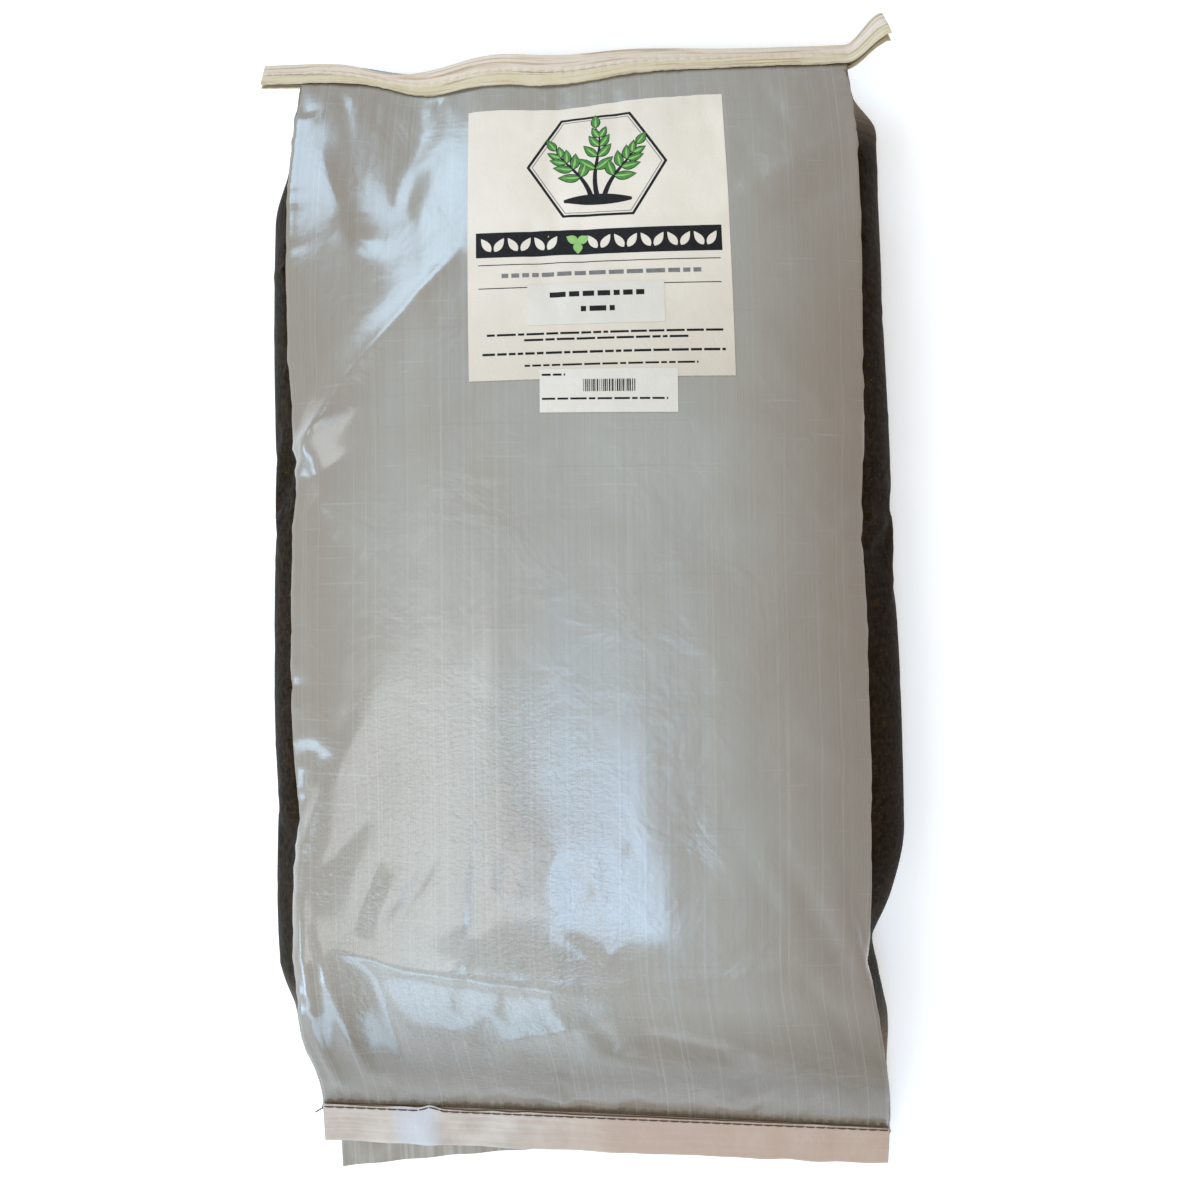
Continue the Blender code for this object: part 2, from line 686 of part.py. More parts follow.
def main():
    for old in list(bpy.data.objects):
        bpy.data.objects.remove(old, do_unlink=True)
    bag = bpy.data.collections.new("compost_bag")
    shapes = bpy.data.collections.new("compost_bag_shapes")
    bpy.context.scene.collection.children.link(bag)
    bpy.context.scene.collection.children.link(shapes)
    whole = bpy.data.objects.new("compost_bag_frame", None)
    bag.objects.link(whole)
    make_sack(bag, shapes, whole)
    make_tape(bag, whole)
    make_threads(bag, whole)
    make_papers(bag, whole)
    stand_on_origin(whole, bag)


main()
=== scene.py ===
# %% [markdown]
# # A full compost bag on its back
# The real bag is a flat tube of woven plastic film with a pleated gusset down each side. It is
# filled with compost, folded up and sewn at the bottom, and closed at the mouth by a strip of
# crepe paper that is folded over it and sewn through. It could be sculpted by hand, but here each
# surface is a formula on a grid, so that its seams, folds and paper can all be placed in the same
# two directions that the film itself has: across the panel and along it.

import bmesh
import bpy
import numpy as np
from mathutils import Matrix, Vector


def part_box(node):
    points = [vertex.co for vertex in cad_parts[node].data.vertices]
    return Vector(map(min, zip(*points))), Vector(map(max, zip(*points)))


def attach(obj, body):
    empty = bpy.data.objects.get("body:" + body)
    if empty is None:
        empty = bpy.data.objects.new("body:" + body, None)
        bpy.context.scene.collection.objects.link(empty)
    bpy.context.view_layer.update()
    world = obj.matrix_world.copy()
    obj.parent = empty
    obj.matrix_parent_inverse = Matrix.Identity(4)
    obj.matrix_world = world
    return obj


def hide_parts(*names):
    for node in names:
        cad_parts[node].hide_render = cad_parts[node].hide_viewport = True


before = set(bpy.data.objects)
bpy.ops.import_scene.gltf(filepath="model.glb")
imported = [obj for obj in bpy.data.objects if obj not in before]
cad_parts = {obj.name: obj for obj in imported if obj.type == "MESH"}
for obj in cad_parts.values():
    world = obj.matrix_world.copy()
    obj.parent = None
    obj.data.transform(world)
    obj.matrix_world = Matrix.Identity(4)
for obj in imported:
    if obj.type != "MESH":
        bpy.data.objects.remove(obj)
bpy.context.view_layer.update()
BODY = "root"

# %% [markdown]
# The filled sack has only a few sizes of its own: the flat width of the film, the length between
# its two sewn ends, and its depth in the middle and at the side creases. They are the solid's own
# sizes, so that the dressed bag lies exactly where the solid does.

# %% Sizes of the filled sack
PANEL_WIDTH = 0.381
FILLED_LENGTH = 0.714
UPPER_DEPTH, LOWER_DEPTH, EDGE_DEPTH = 0.127, 0.136, 0.094
BACK_CREASE_HEIGHT = 0.010
CROWN_POWER, CROWN_DRAW_IN = 2.4, 0.0008
HEM_SPREAD, MOUTH_GATHER, END_WIDTH_REACH = 0.0045, 0.0030, 0.100
SWAY, SWAY_REACH = 0.0155, 0.130
MOUTH_SLOPE_REACH, HEM_SLOPE_REACH = 0.260, 0.165
MOUTH_EDGE_REACH, HEM_EDGE_REACH = 0.150, 0.120
MOUTH_BACK_REACH, HEM_BACK_REACH = 0.110, 0.070
BACK_FLAT_SHARE = 0.86
MOUTH_LIP, MOUTH_HEIGHT, MOUTH_TILT = 0.0255, 0.055, 0.027
MOUTH_PITCH, MOUTH_FLATTENING = np.radians(43.0), np.radians(25.0)
MOUTH_DIP_REACH = 0.100
FLATTENED_AT, FLATTENED_REACH = -0.050, 0.085
HEM_STRIP, HEM_HEIGHT, HEM_TILT = 0.0280, 0.0205, -0.0516
HEM_PITCH = np.radians(18.0)


def smooth(share):
    """Runs from 0 to 1 with level ends: three times the square less twice the cube."""
    held = np.clip(share, 0.0, 1.0)
    return held * held * (3.0 - 2.0 * held)


def shortfall(distance, reach):
    """Runs from 1 at an end to 0 at its reach, as a parabola that ends level."""
    return (1.0 - np.clip(distance / reach, 0.0, 1.0)) ** 2


def bell(distance, width):
    """A bell curve: 1 on its line, falling away on both sides."""
    return np.exp(-((distance / width) ** 2))


def centre_line(along):
    """The sack's middle drifts to the left as it rises from the hem."""
    return -SWAY * smooth(along * FILLED_LENGTH / SWAY_REACH)


def half_width(along):
    """Half of the front panel's chord: drawn in by the crown, spread at the hem, then gathered."""
    from_hem, from_mouth = along * FILLED_LENGTH, (1.0 - along) * FILLED_LENGTH
    fullness = 1.0 - shortfall(from_hem, HEM_SLOPE_REACH) - shortfall(from_mouth, MOUTH_SLOPE_REACH)
    spread = HEM_SPREAD * shortfall(from_hem, END_WIDTH_REACH)
    gathered = MOUTH_GATHER * shortfall(from_mouth, END_WIDTH_REACH)
    return PANEL_WIDTH / 2 - CROWN_DRAW_IN * fullness + spread - gathered


# Side, distance from the hem, reach and size of each place where a side crease leaves its line
EDGE_SWELLS = (
    (-1, 0.550, 0.100, 0.0015),
    (-1, 0.430, 0.060, -0.0018),
    (-1, 0.200, 0.050, -0.0030),
    (-1, 0.115, 0.035, -0.0024),
    (-1, 0.055, 0.022, 0.0040),
    (1, 0.400, 0.060, -0.0020),
    (1, 0.240, 0.080, 0.0012),
    (1, 0.118, 0.030, -0.0022),
)


def side_swell(across, from_hem):
    """A bell along the crease for each place, times the square of across on its own side."""
    out = 0.0 * (across + from_hem)
    for side, place, reach, size in EDGE_SWELLS:
        share = np.clip(side * across, 0.0, 1.0) ** 2
        out = out + side * size * share * bell(from_hem - place, reach)
    return out


def mouth_line(x):
    """The mouth's seam if it were straight: a tilted line."""
    return FILLED_LENGTH / 2 + MOUTH_TILT * x


# Place, depth and reach of the mouth's dip and of its shallower sag
MOUTH_DIPS = ((-0.120, 0.0125, 0.040), (-0.030, 0.0080, 0.045))


def mouth_dip(x):
    """How far the seam hangs below that line: a bell for each dip."""
    return sum(depth * bell(x - place, reach) for place, depth, reach in MOUTH_DIPS)


def mouth_root(x):
    """Where the mouth's flat lip starts."""
    return mouth_line(x) - mouth_dip(x)


def hem_root(x):
    """Where the hem's flat lip starts: a tilted line."""
    return -FILLED_LENGTH / 2 + HEM_TILT * x


print("the sack is", PANEL_WIDTH, "m across the flat and", FILLED_LENGTH, "m between its ends")

# %% [markdown]
# The skin of the sack is one closed grid. Its columns run from the hem to the mouth and its rows
# go once round: across the front panel, down the right gusset, back under, and up the left
# gusset. The front is a crown that falls to both sewn ends as a parabola, which is the curve a
# filled sack takes where its film runs into a flat seam. The gussets bulge in the middle of the
# bag and are tucked in at its ends.

# %% The skin before it is pressed
FRONT_COLUMNS, GUSSET_COLUMNS, BODY_ROWS = 69, 13, 121
LEFT_BULGES, RIGHT_BULGES, RIGHT_HEM_BULGE = (0.0170, 0.0140), (0.0285, 0.0180), 0.0115
BULGE_CHANGE_FROM_HEM, BULGE_CHANGE_REACH = 0.300, 0.360
LEFT_TUCKS, RIGHT_TUCKS = (0.100, 0.108), (0.045, 0.088)
GUSSET_TUCK = 0.028
PINCH_FROM_HEM, PINCH_DEPTH, PINCH_WIDTH, PINCH_RISE = 0.135, 0.0040, 0.014, 0.085
STITCH_DROP = 0.0125
LIP_DROPS = np.array([0.0, 0.0063, 0.0125, 0.0190, MOUTH_LIP])
HEM_DROPS = np.array([0.0, 0.0065, 0.0130, 0.0195, HEM_STRIP])
FLAT_PLIES = 0.0016


def panel_place(across, along):
    """x, y and the distances from both sewn ends. The mouth's dip fades down the panel."""
    x = centre_line(along) + half_width(along) * across + side_swell(across, along * FILLED_LENGTH)
    low, high = hem_root(x), mouth_root(x)
    faded = shortfall((1.0 - along) * FILLED_LENGTH, MOUTH_DIP_REACH)
    y = low + (mouth_line(x) - low) * along - mouth_dip(x) * faded
    return x, y, y - low, high - y


def front_base(across, along):
    """The front panel: across runs from -1 to 1 and along from 0 at the hem to 1 at the mouth.

    The height is the edge's height, plus the crown's rise over it times one less a power of
    across. Both heights fall short of their full size near the ends by parabolas.
    """
    x, y, from_hem, from_mouth = panel_place(across, along)
    depth = LOWER_DEPTH + (UPPER_DEPTH - LOWER_DEPTH) * smooth(along)
    crown = depth - (depth - MOUTH_HEIGHT) * shortfall(from_mouth, MOUTH_SLOPE_REACH)
    crown = crown - (depth - HEM_HEIGHT) * shortfall(from_hem, HEM_SLOPE_REACH)
    edge = EDGE_DEPTH - (EDGE_DEPTH - MOUTH_HEIGHT) * shortfall(from_mouth, MOUTH_EDGE_REACH)
    edge = edge - (EDGE_DEPTH - HEM_HEIGHT) * shortfall(from_hem, HEM_EDGE_REACH)
    z = edge + (crown - edge) * (1.0 - np.abs(across) ** CROWN_POWER) + FLAT_PLIES / 2
    return np.stack(np.broadcast_arrays(x, y, z), axis=-1)


def back_base(across, along):
    """The back panel: flat on the floor, rising to both sewn ends and curled at its creases."""
    x, y, from_hem, from_mouth = panel_place(across, along)
    near_mouth, near_hem = shortfall(from_mouth, MOUTH_BACK_REACH), shortfall(from_hem, HEM_BACK_REACH)
    z = (MOUTH_HEIGHT - FLAT_PLIES / 2) * near_mouth + (HEM_HEIGHT - FLAT_PLIES / 2) * near_hem
    curl = np.clip((np.abs(across) - BACK_FLAT_SHARE) / (1.0 - BACK_FLAT_SHARE), 0.0, 1.0)
    z = z + BACK_CREASE_HEIGHT * curl**2 * (1.0 - near_mouth - near_hem)
    return np.stack(np.broadcast_arrays(x, y, z), axis=-1)


def gusset_base(front_edge, back_edge, along, side, mouth_reach, hem_reach, bulge):
    """A gusset between its creases, as rows by columns by 3.

    It leaves the straight line between the creases by a sine where it is open, and by a pleat
    with one fold in its middle where it is tucked in.
    """
    from_hem = along[:, None] * FILLED_LENGTH
    from_mouth = FILLED_LENGTH - from_hem
    opened = smooth(from_mouth / mouth_reach) * smooth(from_hem / hem_reach)
    down = np.linspace(0.0, 1.0, GUSSET_COLUMNS + 2)[None, 1:-1]
    pleat = GUSSET_TUCK * (1.0 - np.abs(2.0 * down - 1.0))
    out = bulge(from_hem) * opened * np.sin(np.pi * down) ** 0.85 - pleat * (1.0 - opened)
    points = front_edge[:, None] + (back_edge - front_edge)[:, None] * down[..., None]
    points[..., 0] += side * out
    return points


def left_bulge(from_hem):
    """The left gusset bulges a little more in its lower half."""
    change = smooth((from_hem - BULGE_CHANGE_FROM_HEM) / BULGE_CHANGE_REACH)
    return LEFT_BULGES[0] + (LEFT_BULGES[1] - LEFT_BULGES[0]) * change


def right_bulge(from_hem):
    """The right gusset bulges most above its pinch and hardly below it."""
    change = smooth((from_hem - BULGE_CHANGE_FROM_HEM) / BULGE_CHANGE_REACH)
    bulge = RIGHT_BULGES[0] + (RIGHT_BULGES[1] - RIGHT_BULGES[0]) * change
    above = smooth((from_hem - PINCH_FROM_HEM + PINCH_WIDTH) / PINCH_RISE)
    pinch = PINCH_DEPTH * bell(from_hem - PINCH_FROM_HEM, PINCH_WIDTH)
    return RIGHT_HEM_BULGE + (bulge - RIGHT_HEM_BULGE) * above - pinch


MOUTH_CORNER = centre_line(1.0) + half_width(1.0)
LEFT_MOUTH_CORNER = centre_line(1.0) - half_width(1.0)
TAIL_LENGTH, TAIL_SWING, TAIL_LIFT = 0.027, 0.0155, 0.014
TAIL_SLANT, TAIL_TWIST = 0.16, np.radians(6.0)


def mouth_frame(x):
    """The middle of the stitch line, its outward direction and its face direction.

    The lip droops, and flattens in one place. Past the right corner it is the tape's loose end,
    which swings out, lifts, slants back to the bag and turns about the stitch line.
    """
    pitch = MOUTH_PITCH - MOUTH_FLATTENING * bell(x - FLATTENED_AT, FLATTENED_REACH)
    tail = smooth((x - MOUTH_CORNER) / TAIL_LENGTH)
    turned = pitch - TAIL_TWIST * tail
    y = mouth_root(x) + STITCH_DROP * np.cos(pitch) + TAIL_SWING * tail
    z = MOUTH_HEIGHT - STITCH_DROP * np.sin(pitch) + TAIL_LIFT * tail
    middle = np.stack([x, y, z], axis=-1)
    none = np.zeros_like(x)
    outward = np.stack([-TAIL_SLANT * tail, np.cos(turned), -np.sin(turned)], axis=-1)
    face = np.stack([none, np.sin(turned), np.cos(turned)], axis=-1)
    return middle, outward, face


def mouth_lip(x, drop, proud):
    """Points by the mouth's lip: drop from its root to its edge, proud of its middle plane."""
    middle, outward, face = mouth_frame(x)
    past, proud = np.asarray(drop) - STITCH_DROP, np.asarray(proud)
    return middle + outward * past[..., None] + face * proud[..., None]


def hem_lip(x, drop, proud):
    """Points by the hem's lip: drop from its root to its fold, proud of its middle plane."""
    y = hem_root(x) - drop * np.cos(HEM_PITCH) - proud * np.sin(HEM_PITCH)
    z = HEM_HEIGHT - drop * np.sin(HEM_PITCH) + proud * np.cos(HEM_PITCH)
    return np.stack(np.broadcast_arrays(x, y, z), axis=-1)


def lip_turns(x, drops, lip):
    """Closed turns round a flat lip: both faces, with the gussets' columns drawn in between."""
    drop = drops[:, None] + 0.0 * x
    top = lip(x + 0.0 * drop, drop, np.full(drop.shape, FLAT_PLIES / 2))
    under = lip(x + 0.0 * drop, drop, np.full(drop.shape, -FLAT_PLIES / 2))
    down = np.linspace(0.0, 1.0, GUSSET_COLUMNS + 2)[None, 1:-1, None]
    right = top[:, -1:] + (under[:, -1:] - top[:, -1:]) * down
    left = top[:, :1] + (under[:, :1] - top[:, :1]) * down
    return np.concatenate([top, right, under[:, ::-1], left[:, ::-1]], axis=1)


def skin_base():
    """The whole skin as rows by columns by 3, from the hem's fold to the mouth's edge."""
    across = np.linspace(-1.0, 1.0, FRONT_COLUMNS)
    along = np.linspace(0.0, 1.0, BODY_ROWS + 2)[1:-1]
    front = front_base(across[None], along[:, None])
    back = back_base(across[None], along[:, None])
    right = gusset_base(front[:, -1], back[:, -1], along, 1, *RIGHT_TUCKS, right_bulge)
    left = gusset_base(front[:, 0], back[:, 0], along, -1, *LEFT_TUCKS, left_bulge)
    body = np.concatenate([front, right, back[:, ::-1], left[:, ::-1]], axis=1)
    hem_x = centre_line(0.0) + half_width(0.0) * across
    mouth_x = centre_line(1.0) + half_width(1.0) * across
    hem = lip_turns(hem_x, HEM_DROPS[::-1], hem_lip)
    mouth = lip_turns(mouth_x, LIP_DROPS, mouth_lip)
    return np.concatenate([hem, body, mouth])


base = skin_base()
HEM_ROWS, MOUTH_ROWS = len(HEM_DROPS), len(LIP_DROPS)
row_along = np.concatenate(
    [np.zeros(HEM_ROWS), np.linspace(0.0, 1.0, BODY_ROWS + 2)[1:-1], np.ones(MOUTH_ROWS)]
)
print("skin grid", base.shape, "box", base.reshape(-1, 3).min(0), base.reshape(-1, 3).max(0))

# %% [markdown]
# Film is not elastic, so where a filled sack is rounded it has more film than it needs, and the
# spare length shows as puckers along its creases and seams. Those are hard to draw and easy to
# simulate: Blender's Cloth starts from the plain skin, is made to grow a little near the seams,
# and is held back everywhere else by weak goal springs. Only the small waves are kept from it,
# because the large form is already right.

# %% Puckers from a cloth simulation
SIM_FRAMES = 22
SIM_CAP, WAVE_BLUR = 0.0075, 30
EDGE_GROWTH_WIDTH, END_GROWTH_WIDTH = 0.022, 0.060
GUSSET_GROWTH, BACK_GROWTH, HEM_GROWTH, MOUTH_GROWTH = 0.8, 0.3, 0.45, 0.55
EDGE_HOLD, MIDDLE_HOLD, RESTING_HEIGHT = 0.012, 0.05, 0.0006
CALM_SHARE, CALM_WIDTH, CALM_FROM_HEM, CALM_LENGTH = 0.92, 0.075, 0.13, 0.085
CLOTH_SETTINGS = {
    "shrink_min": -0.002,
    "shrink_max": -0.035,
    "quality": 5,
    "mass": 0.15,
    "tension_stiffness": 40.0,
    "compression_stiffness": 40.0,
    "shear_stiffness": 15.0,
    "bending_stiffness": 1.5,
    "use_pressure": True,
    "uniform_pressure_force": 1.5,
}


def skin_faces(rows, columns):
    """Quads between each closed turn and the next."""
    row, here = np.arange(rows - 1)[:, None] * columns, np.arange(columns)[None, :]
    there = (here + 1) % columns
    quads = np.stack([row + here, row + there, row + columns + there, row + columns + here], -1)
    return quads.reshape(-1, 4)


def growth_weights(shape):
    """1 where the film has most to spare: beside the side creases and near both sewn ends."""
    rows, columns = shape
    u = np.linspace(-1.0, 1.0, FRONT_COLUMNS)
    from_edge = (1.0 - np.abs(u)) * PANEL_WIDTH / 2
    front = np.broadcast_to(bell(from_edge, EDGE_GROWTH_WIDTH), (rows, FRONT_COLUMNS))
    side = np.full((rows, GUSSET_COLUMNS), GUSSET_GROWTH)
    edges = np.concatenate([front, side, front * BACK_GROWTH, side], axis=1)
    up = row_along * FILLED_LENGTH
    ends = HEM_GROWTH * bell(up, END_GROWTH_WIDTH)
    ends = ends + MOUTH_GROWTH * bell(FILLED_LENGTH - up, END_GROWTH_WIDTH)
    return np.clip(edges + ends[:, None], 0.0, 1.0)


def hold_weights(shape):
    """1 where the skin is held: the sewn lips and the underside. Weak elsewhere."""
    hold = np.full(shape, EDGE_HOLD)
    hold[:, FRONT_COLUMNS // 5 : FRONT_COLUMNS * 4 // 5] = MIDDLE_HOLD
    hold[base[..., 2] < RESTING_HEIGHT] = 1.0
    hold[:HEM_ROWS] = 1.0
    hold[-MOUTH_ROWS:] = 1.0
    return hold


def blurred(field, reach):
    """The field smoothed along its rows and columns by repeated three-point means."""
    out = field.copy()
    for _ in range(reach):
        out = (np.roll(out, 1, 1) + 2.0 * out + np.roll(out, -1, 1)) / 4.0
        middle = (out[:-2] + 2.0 * out[1:-1] + out[2:]) / 4.0
        out = np.concatenate([out[:1], middle, out[-1:]])
    return out


def weigh(piece, name, weights):
    """A vertex group with one weight for each point."""
    group = piece.vertex_groups.new(name=name)
    for value in np.unique(weights):
        group.add(np.flatnonzero(weights == value).tolist(), float(value), "REPLACE")
    return group.name


def puckered(start):
    """The start skin after the cloth has settled, with only its small waves kept.

    They are calmed in the lower middle of the front, where this bag lies smooth.
    """
    rows, columns = start.shape[:2]
    mesh = bpy.data.meshes.new("settling")
    mesh.from_pydata(start.reshape(-1, 3).tolist(), [], skin_faces(rows, columns).tolist())
    film = bpy.data.objects.new("settling", mesh)
    bpy.context.scene.collection.objects.link(film)
    cloth = film.modifiers.new("cloth", "CLOTH")
    held = np.round(hold_weights((rows, columns)), 3)
    grown = np.round(growth_weights((rows, columns)), 2)
    cloth.settings.vertex_group_mass = weigh(film, "held", held.ravel())
    cloth.settings.vertex_group_shrink = weigh(film, "grown", grown.ravel())
    for setting, value in CLOTH_SETTINGS.items():
        setattr(cloth.settings, setting, value)
    cloth.settings.effector_weights.gravity = 0.0
    cloth.point_cache.frame_start, cloth.point_cache.frame_end = 1, SIM_FRAMES
    for step in range(1, SIM_FRAMES + 1):
        bpy.context.scene.frame_set(step)
    settled = film.evaluated_get(bpy.context.evaluated_depsgraph_get()).to_mesh()
    points = np.empty(rows * columns * 3, dtype=np.float32)
    settled.vertices.foreach_get("co", points)
    bpy.data.objects.remove(film, do_unlink=True)
    bpy.context.scene.frame_set(1)
    moved = points.reshape(rows, columns, 3).astype(float) - start
    waves = moved - blurred(moved, WAVE_BLUR)
    size = np.linalg.norm(waves, axis=-1, keepdims=True)
    kept = waves * np.minimum(1.0, SIM_CAP / np.maximum(size, 1e-9))
    print("largest move", round(float(np.abs(moved).max()), 4))
    print("largest wave", round(float(size.max()), 4))
    aside = np.linspace(-1.0, 1.0, FRONT_COLUMNS)[None] * PANEL_WIDTH / 2
    up = row_along[:, None] * FILLED_LENGTH
    calm = CALM_SHARE * (bell(aside, CALM_WIDTH) * bell(up - CALM_FROM_HEM, CALM_LENGTH))
    kept[:, :FRONT_COLUMNS] *= 1.0 - calm[..., None]
    return start + kept


settled = puckered(base)
print("settled box", settled.reshape(-1, 3).min(0), settled.reshape(-1, 3).max(0))

# %% [markdown]
# The simulated grid is about 5 mm fine. A crease in laminated film is sharper than that, so the
# grid is refined once, by the four-point rule: a new point is nine sixteenths of its two near
# neighbours less one sixteenth of the two beyond. The larger creases of this bag are then laid in
# one by one as ridges and dents along straight lines, because they are what the eye knows it by.

# %% A finer skin with its creases
class Crease:
    """A ridge, or a dent where its height is negative, along a line on the front panel."""

    def __init__(self, start, end, height, width, sharp=0.25):
        self.start, self.end = np.array(start), np.array(end)
        self.height, self.width, self.sharp = height, width, sharp


def doubled(grid, closed):
    """The grid with a new row between each two, by the four-point rule along the first axis."""
    if closed:
        padded = np.concatenate([grid[-1:], grid, grid[:2]])
    else:
        padded = np.concatenate([2 * grid[:1] - grid[1:2], grid, 2 * grid[-1:] - grid[-2:-1]])
    between = (9.0 * (padded[1:-2] + padded[2:-1]) - padded[:-3] - padded[3:]) / 16.0
    out = np.empty((len(grid) + len(between), *grid.shape[1:]))
    out[0::2], out[1::2] = grid, between
    return out


def grid_normals(grid):
    """Outward unit normals of a closed grid, from its differences along both directions."""
    round_it = np.roll(grid, -1, 1) - np.roll(grid, 1, 1)
    along_it = np.gradient(grid, axis=0)
    normals = np.cross(round_it, along_it)
    return normals / np.maximum(np.linalg.norm(normals, axis=-1, keepdims=True), 1e-12)


def crease_height(across, from_hem, creases):
    """The sum of the creases' heights.

    Each is its height times an exponential fall away from its line, rounded at the top.
    """
    total = np.zeros_like(across)
    for crease in creases:
        run = crease.end - crease.start
        off_x, off_y = across - crease.start[0], from_hem - crease.start[1]
        share = np.clip((off_x * run[0] + off_y * run[1]) / (run @ run), 0.0, 1.0)
        away = np.hypot(off_x - share * run[0], off_y - share * run[1])
        tip = crease.sharp * crease.width
        slope = (np.sqrt(away**2 + tip**2) - tip) / crease.width
        fade = np.sin(np.pi * np.clip(0.12 + 0.76 * share, 0.0, 1.0)) ** 0.7
        total = total + crease.height * fade * np.exp(-slope)
    return total


# Start and end, across from the panel's middle and up from the hem, then height, width and sharpness
CREASE_ROWS = (
    ((-0.186, 0.440), (-0.148, 0.500), 0.0046, 0.007, 0.1),
    ((-0.148, 0.500), (-0.113, 0.538), 0.0042, 0.007, 0.1),
    ((-0.113, 0.538), (-0.078, 0.580), 0.0030, 0.006, 0.1),
    ((-0.186, 0.456), (-0.146, 0.480), 0.0030, 0.006),
    ((-0.186, 0.425), (-0.150, 0.446), -0.0026, 0.008),
    ((-0.184, 0.470), (-0.160, 0.520), -0.0020, 0.009),
    ((-0.170, 0.655), (-0.147, 0.583), 0.0040, 0.012),
    ((-0.152, 0.600), (-0.128, 0.590), -0.0022, 0.008),
    ((-0.110, 0.640), (-0.098, 0.520), 0.0018, 0.016),
    ((0.178, 0.658), (0.108, 0.619), 0.0030, 0.010),
    ((0.180, 0.625), (0.125, 0.600), -0.0020, 0.010),
    ((0.174, 0.486), (0.186, 0.451), 0.0022, 0.006),
    ((0.186, 0.450), (0.120, 0.520), 0.0018, 0.013),
    ((-0.160, 0.122), (-0.115, 0.113), 0.0040, 0.007),
    ((-0.115, 0.113), (-0.063, 0.107), 0.0042, 0.007),
    ((-0.063, 0.107), (0.002, 0.101), 0.0034, 0.007),
    ((0.002, 0.101), (0.100, 0.112), 0.0020, 0.008),
    ((0.100, 0.112), (0.186, 0.136), 0.0022, 0.008),
    ((-0.131, 0.180), (-0.147, 0.136), -0.0020, 0.0048),
    ((-0.094, 0.184), (-0.121, 0.138), -0.0018, 0.0040),
    ((-0.066, 0.184), (-0.070, 0.140), -0.0011, 0.0036),
    ((-0.115, 0.170), (-0.134, 0.140), 0.0012, 0.0045),
    ((-0.184, 0.190), (-0.160, 0.240), 0.0014, 0.0060),
    ((-0.176, 0.165), (-0.140, 0.205), -0.0012, 0.0050),
    ((-0.160, 0.250), (-0.150, 0.330), 0.0010, 0.0080),
    ((-0.184, 0.185), (-0.180, 0.022), 0.0036, 0.0055),
    ((-0.172, 0.134), (-0.156, 0.032), 0.0030, 0.007),
    ((-0.140, 0.110), (-0.128, 0.045), -0.0026, 0.009),
    ((-0.010, 0.138), (0.012, 0.118), -0.0012, 0.005),
    ((0.012, 0.118), (0.022, 0.128), 0.0010, 0.004),
    ((-0.060, 0.060), (0.010, 0.082), 0.0024, 0.008),
    ((0.030, 0.070), (0.080, 0.060), -0.0020, 0.009),
    ((0.186, 0.240), (0.148, 0.262), 0.0024, 0.008),
    ((0.186, 0.330), (0.160, 0.345), 0.0018, 0.007),
)
CREASES = [Crease(*row) for row in CREASE_ROWS]

fine = doubled(settled, closed=False)
fine = doubled(fine.swapaxes(0, 1), closed=True).swapaxes(0, 1)
fine_along = doubled(row_along, closed=False)
FINE_FRONT = 2 * FRONT_COLUMNS - 1
FINE_GUSSET = 2 * GUSSET_COLUMNS + 1
fine_across = np.linspace(-1.0, 1.0, FINE_FRONT)
on_body = smooth(np.minimum(fine_along, 1.0 - fine_along) * FILLED_LENGTH / 0.012)[:, None]
across_m = fine_across[None] * half_width(fine_along)[:, None]
up_m = fine_along[:, None] * FILLED_LENGTH + 0.0 * across_m
lift = crease_height(across_m, up_m, CREASES) * on_body
fine[:, :FINE_FRONT] += grid_normals(fine)[:, :FINE_FRONT] * lift[..., None]
print("fine skin", fine.shape, "highest", round(float(fine[..., 2].max()), 4))

# %% [markdown]
# Small gathers run out of every seam, a few centimetres long, because the needle draws the film
# together. Each is a narrow ridge that starts at the seam, wanders a little, and dies away. There
# are too many to place by hand, so their places are drawn from one seeded generator.

# %% Gathers at the seams and side creases
chance = np.random.default_rng(24)


def gathers(position, distance, count, span, reach, height):
    """A sum of ridges that cross a seam: bells along it that fade with distance from it."""
    total = np.zeros_like(position + distance)
    for _ in range(count):
        place = chance.uniform(*span)
        length = reach * chance.uniform(0.4, 1.3)
        lean = chance.uniform(-0.25, 0.25)
        width = chance.uniform(0.0022, 0.0050)
        size = height * chance.uniform(-0.7, 1.0)
        line = position - place - lean * distance
        fade = np.clip(1.0 - distance / length, 0.0, 1.0) ** 1.5
        total = total + size * np.exp(-((line / width) ** 2)) * fade
    return total


def panel_gathers(across, up):
    """Gathers of the front panel: from the mouth, from the hem, and in from both creases."""
    half = PANEL_WIDTH / 2
    out = gathers(across, FILLED_LENGTH - up, 46, (-half, half), 0.055, 0.0013)
    out = out + gathers(across, up, 34, (-half, half), 0.050, 0.0012)
    out = out + gathers(up, across + half, 60, (0.02, FILLED_LENGTH - 0.02), 0.022, 0.0011)
    return out + gathers(up, half - across, 60, (0.02, FILLED_LENGTH - 0.02), 0.022, 0.0011)


LABEL_WIDTH, LABEL_LENGTH, LABEL_DROP, LABEL_ASIDE = 0.172, 0.205, 0.0205, 0.0160
LABEL_TURN = np.radians(0.9)
UNDER_PAPER = 0.2
LUMP_SIZE, LUMP_GRID = 0.00028, (10, 19)
GUSSET_FALL, PLEAT_DEPTH, PLEAT_WIDTH = 0.1, 0.0022, 0.004
paper_zone = smooth((LABEL_WIDTH / 2 + 0.012 - np.abs(across_m - LABEL_ASIDE)) / 0.020)
paper_zone = paper_zone * smooth((up_m - FILLED_LENGTH + LABEL_DROP + LABEL_LENGTH + 0.020) / 0.020)
flattened = on_body * (1.0 - (1.0 - UNDER_PAPER) * paper_zone)
small = panel_gathers(across_m, up_m) * flattened
lumps = chance.normal(0.0, LUMP_SIZE, LUMP_GRID)
for _ in range(5):
    lumps = doubled(lumps, closed=False)
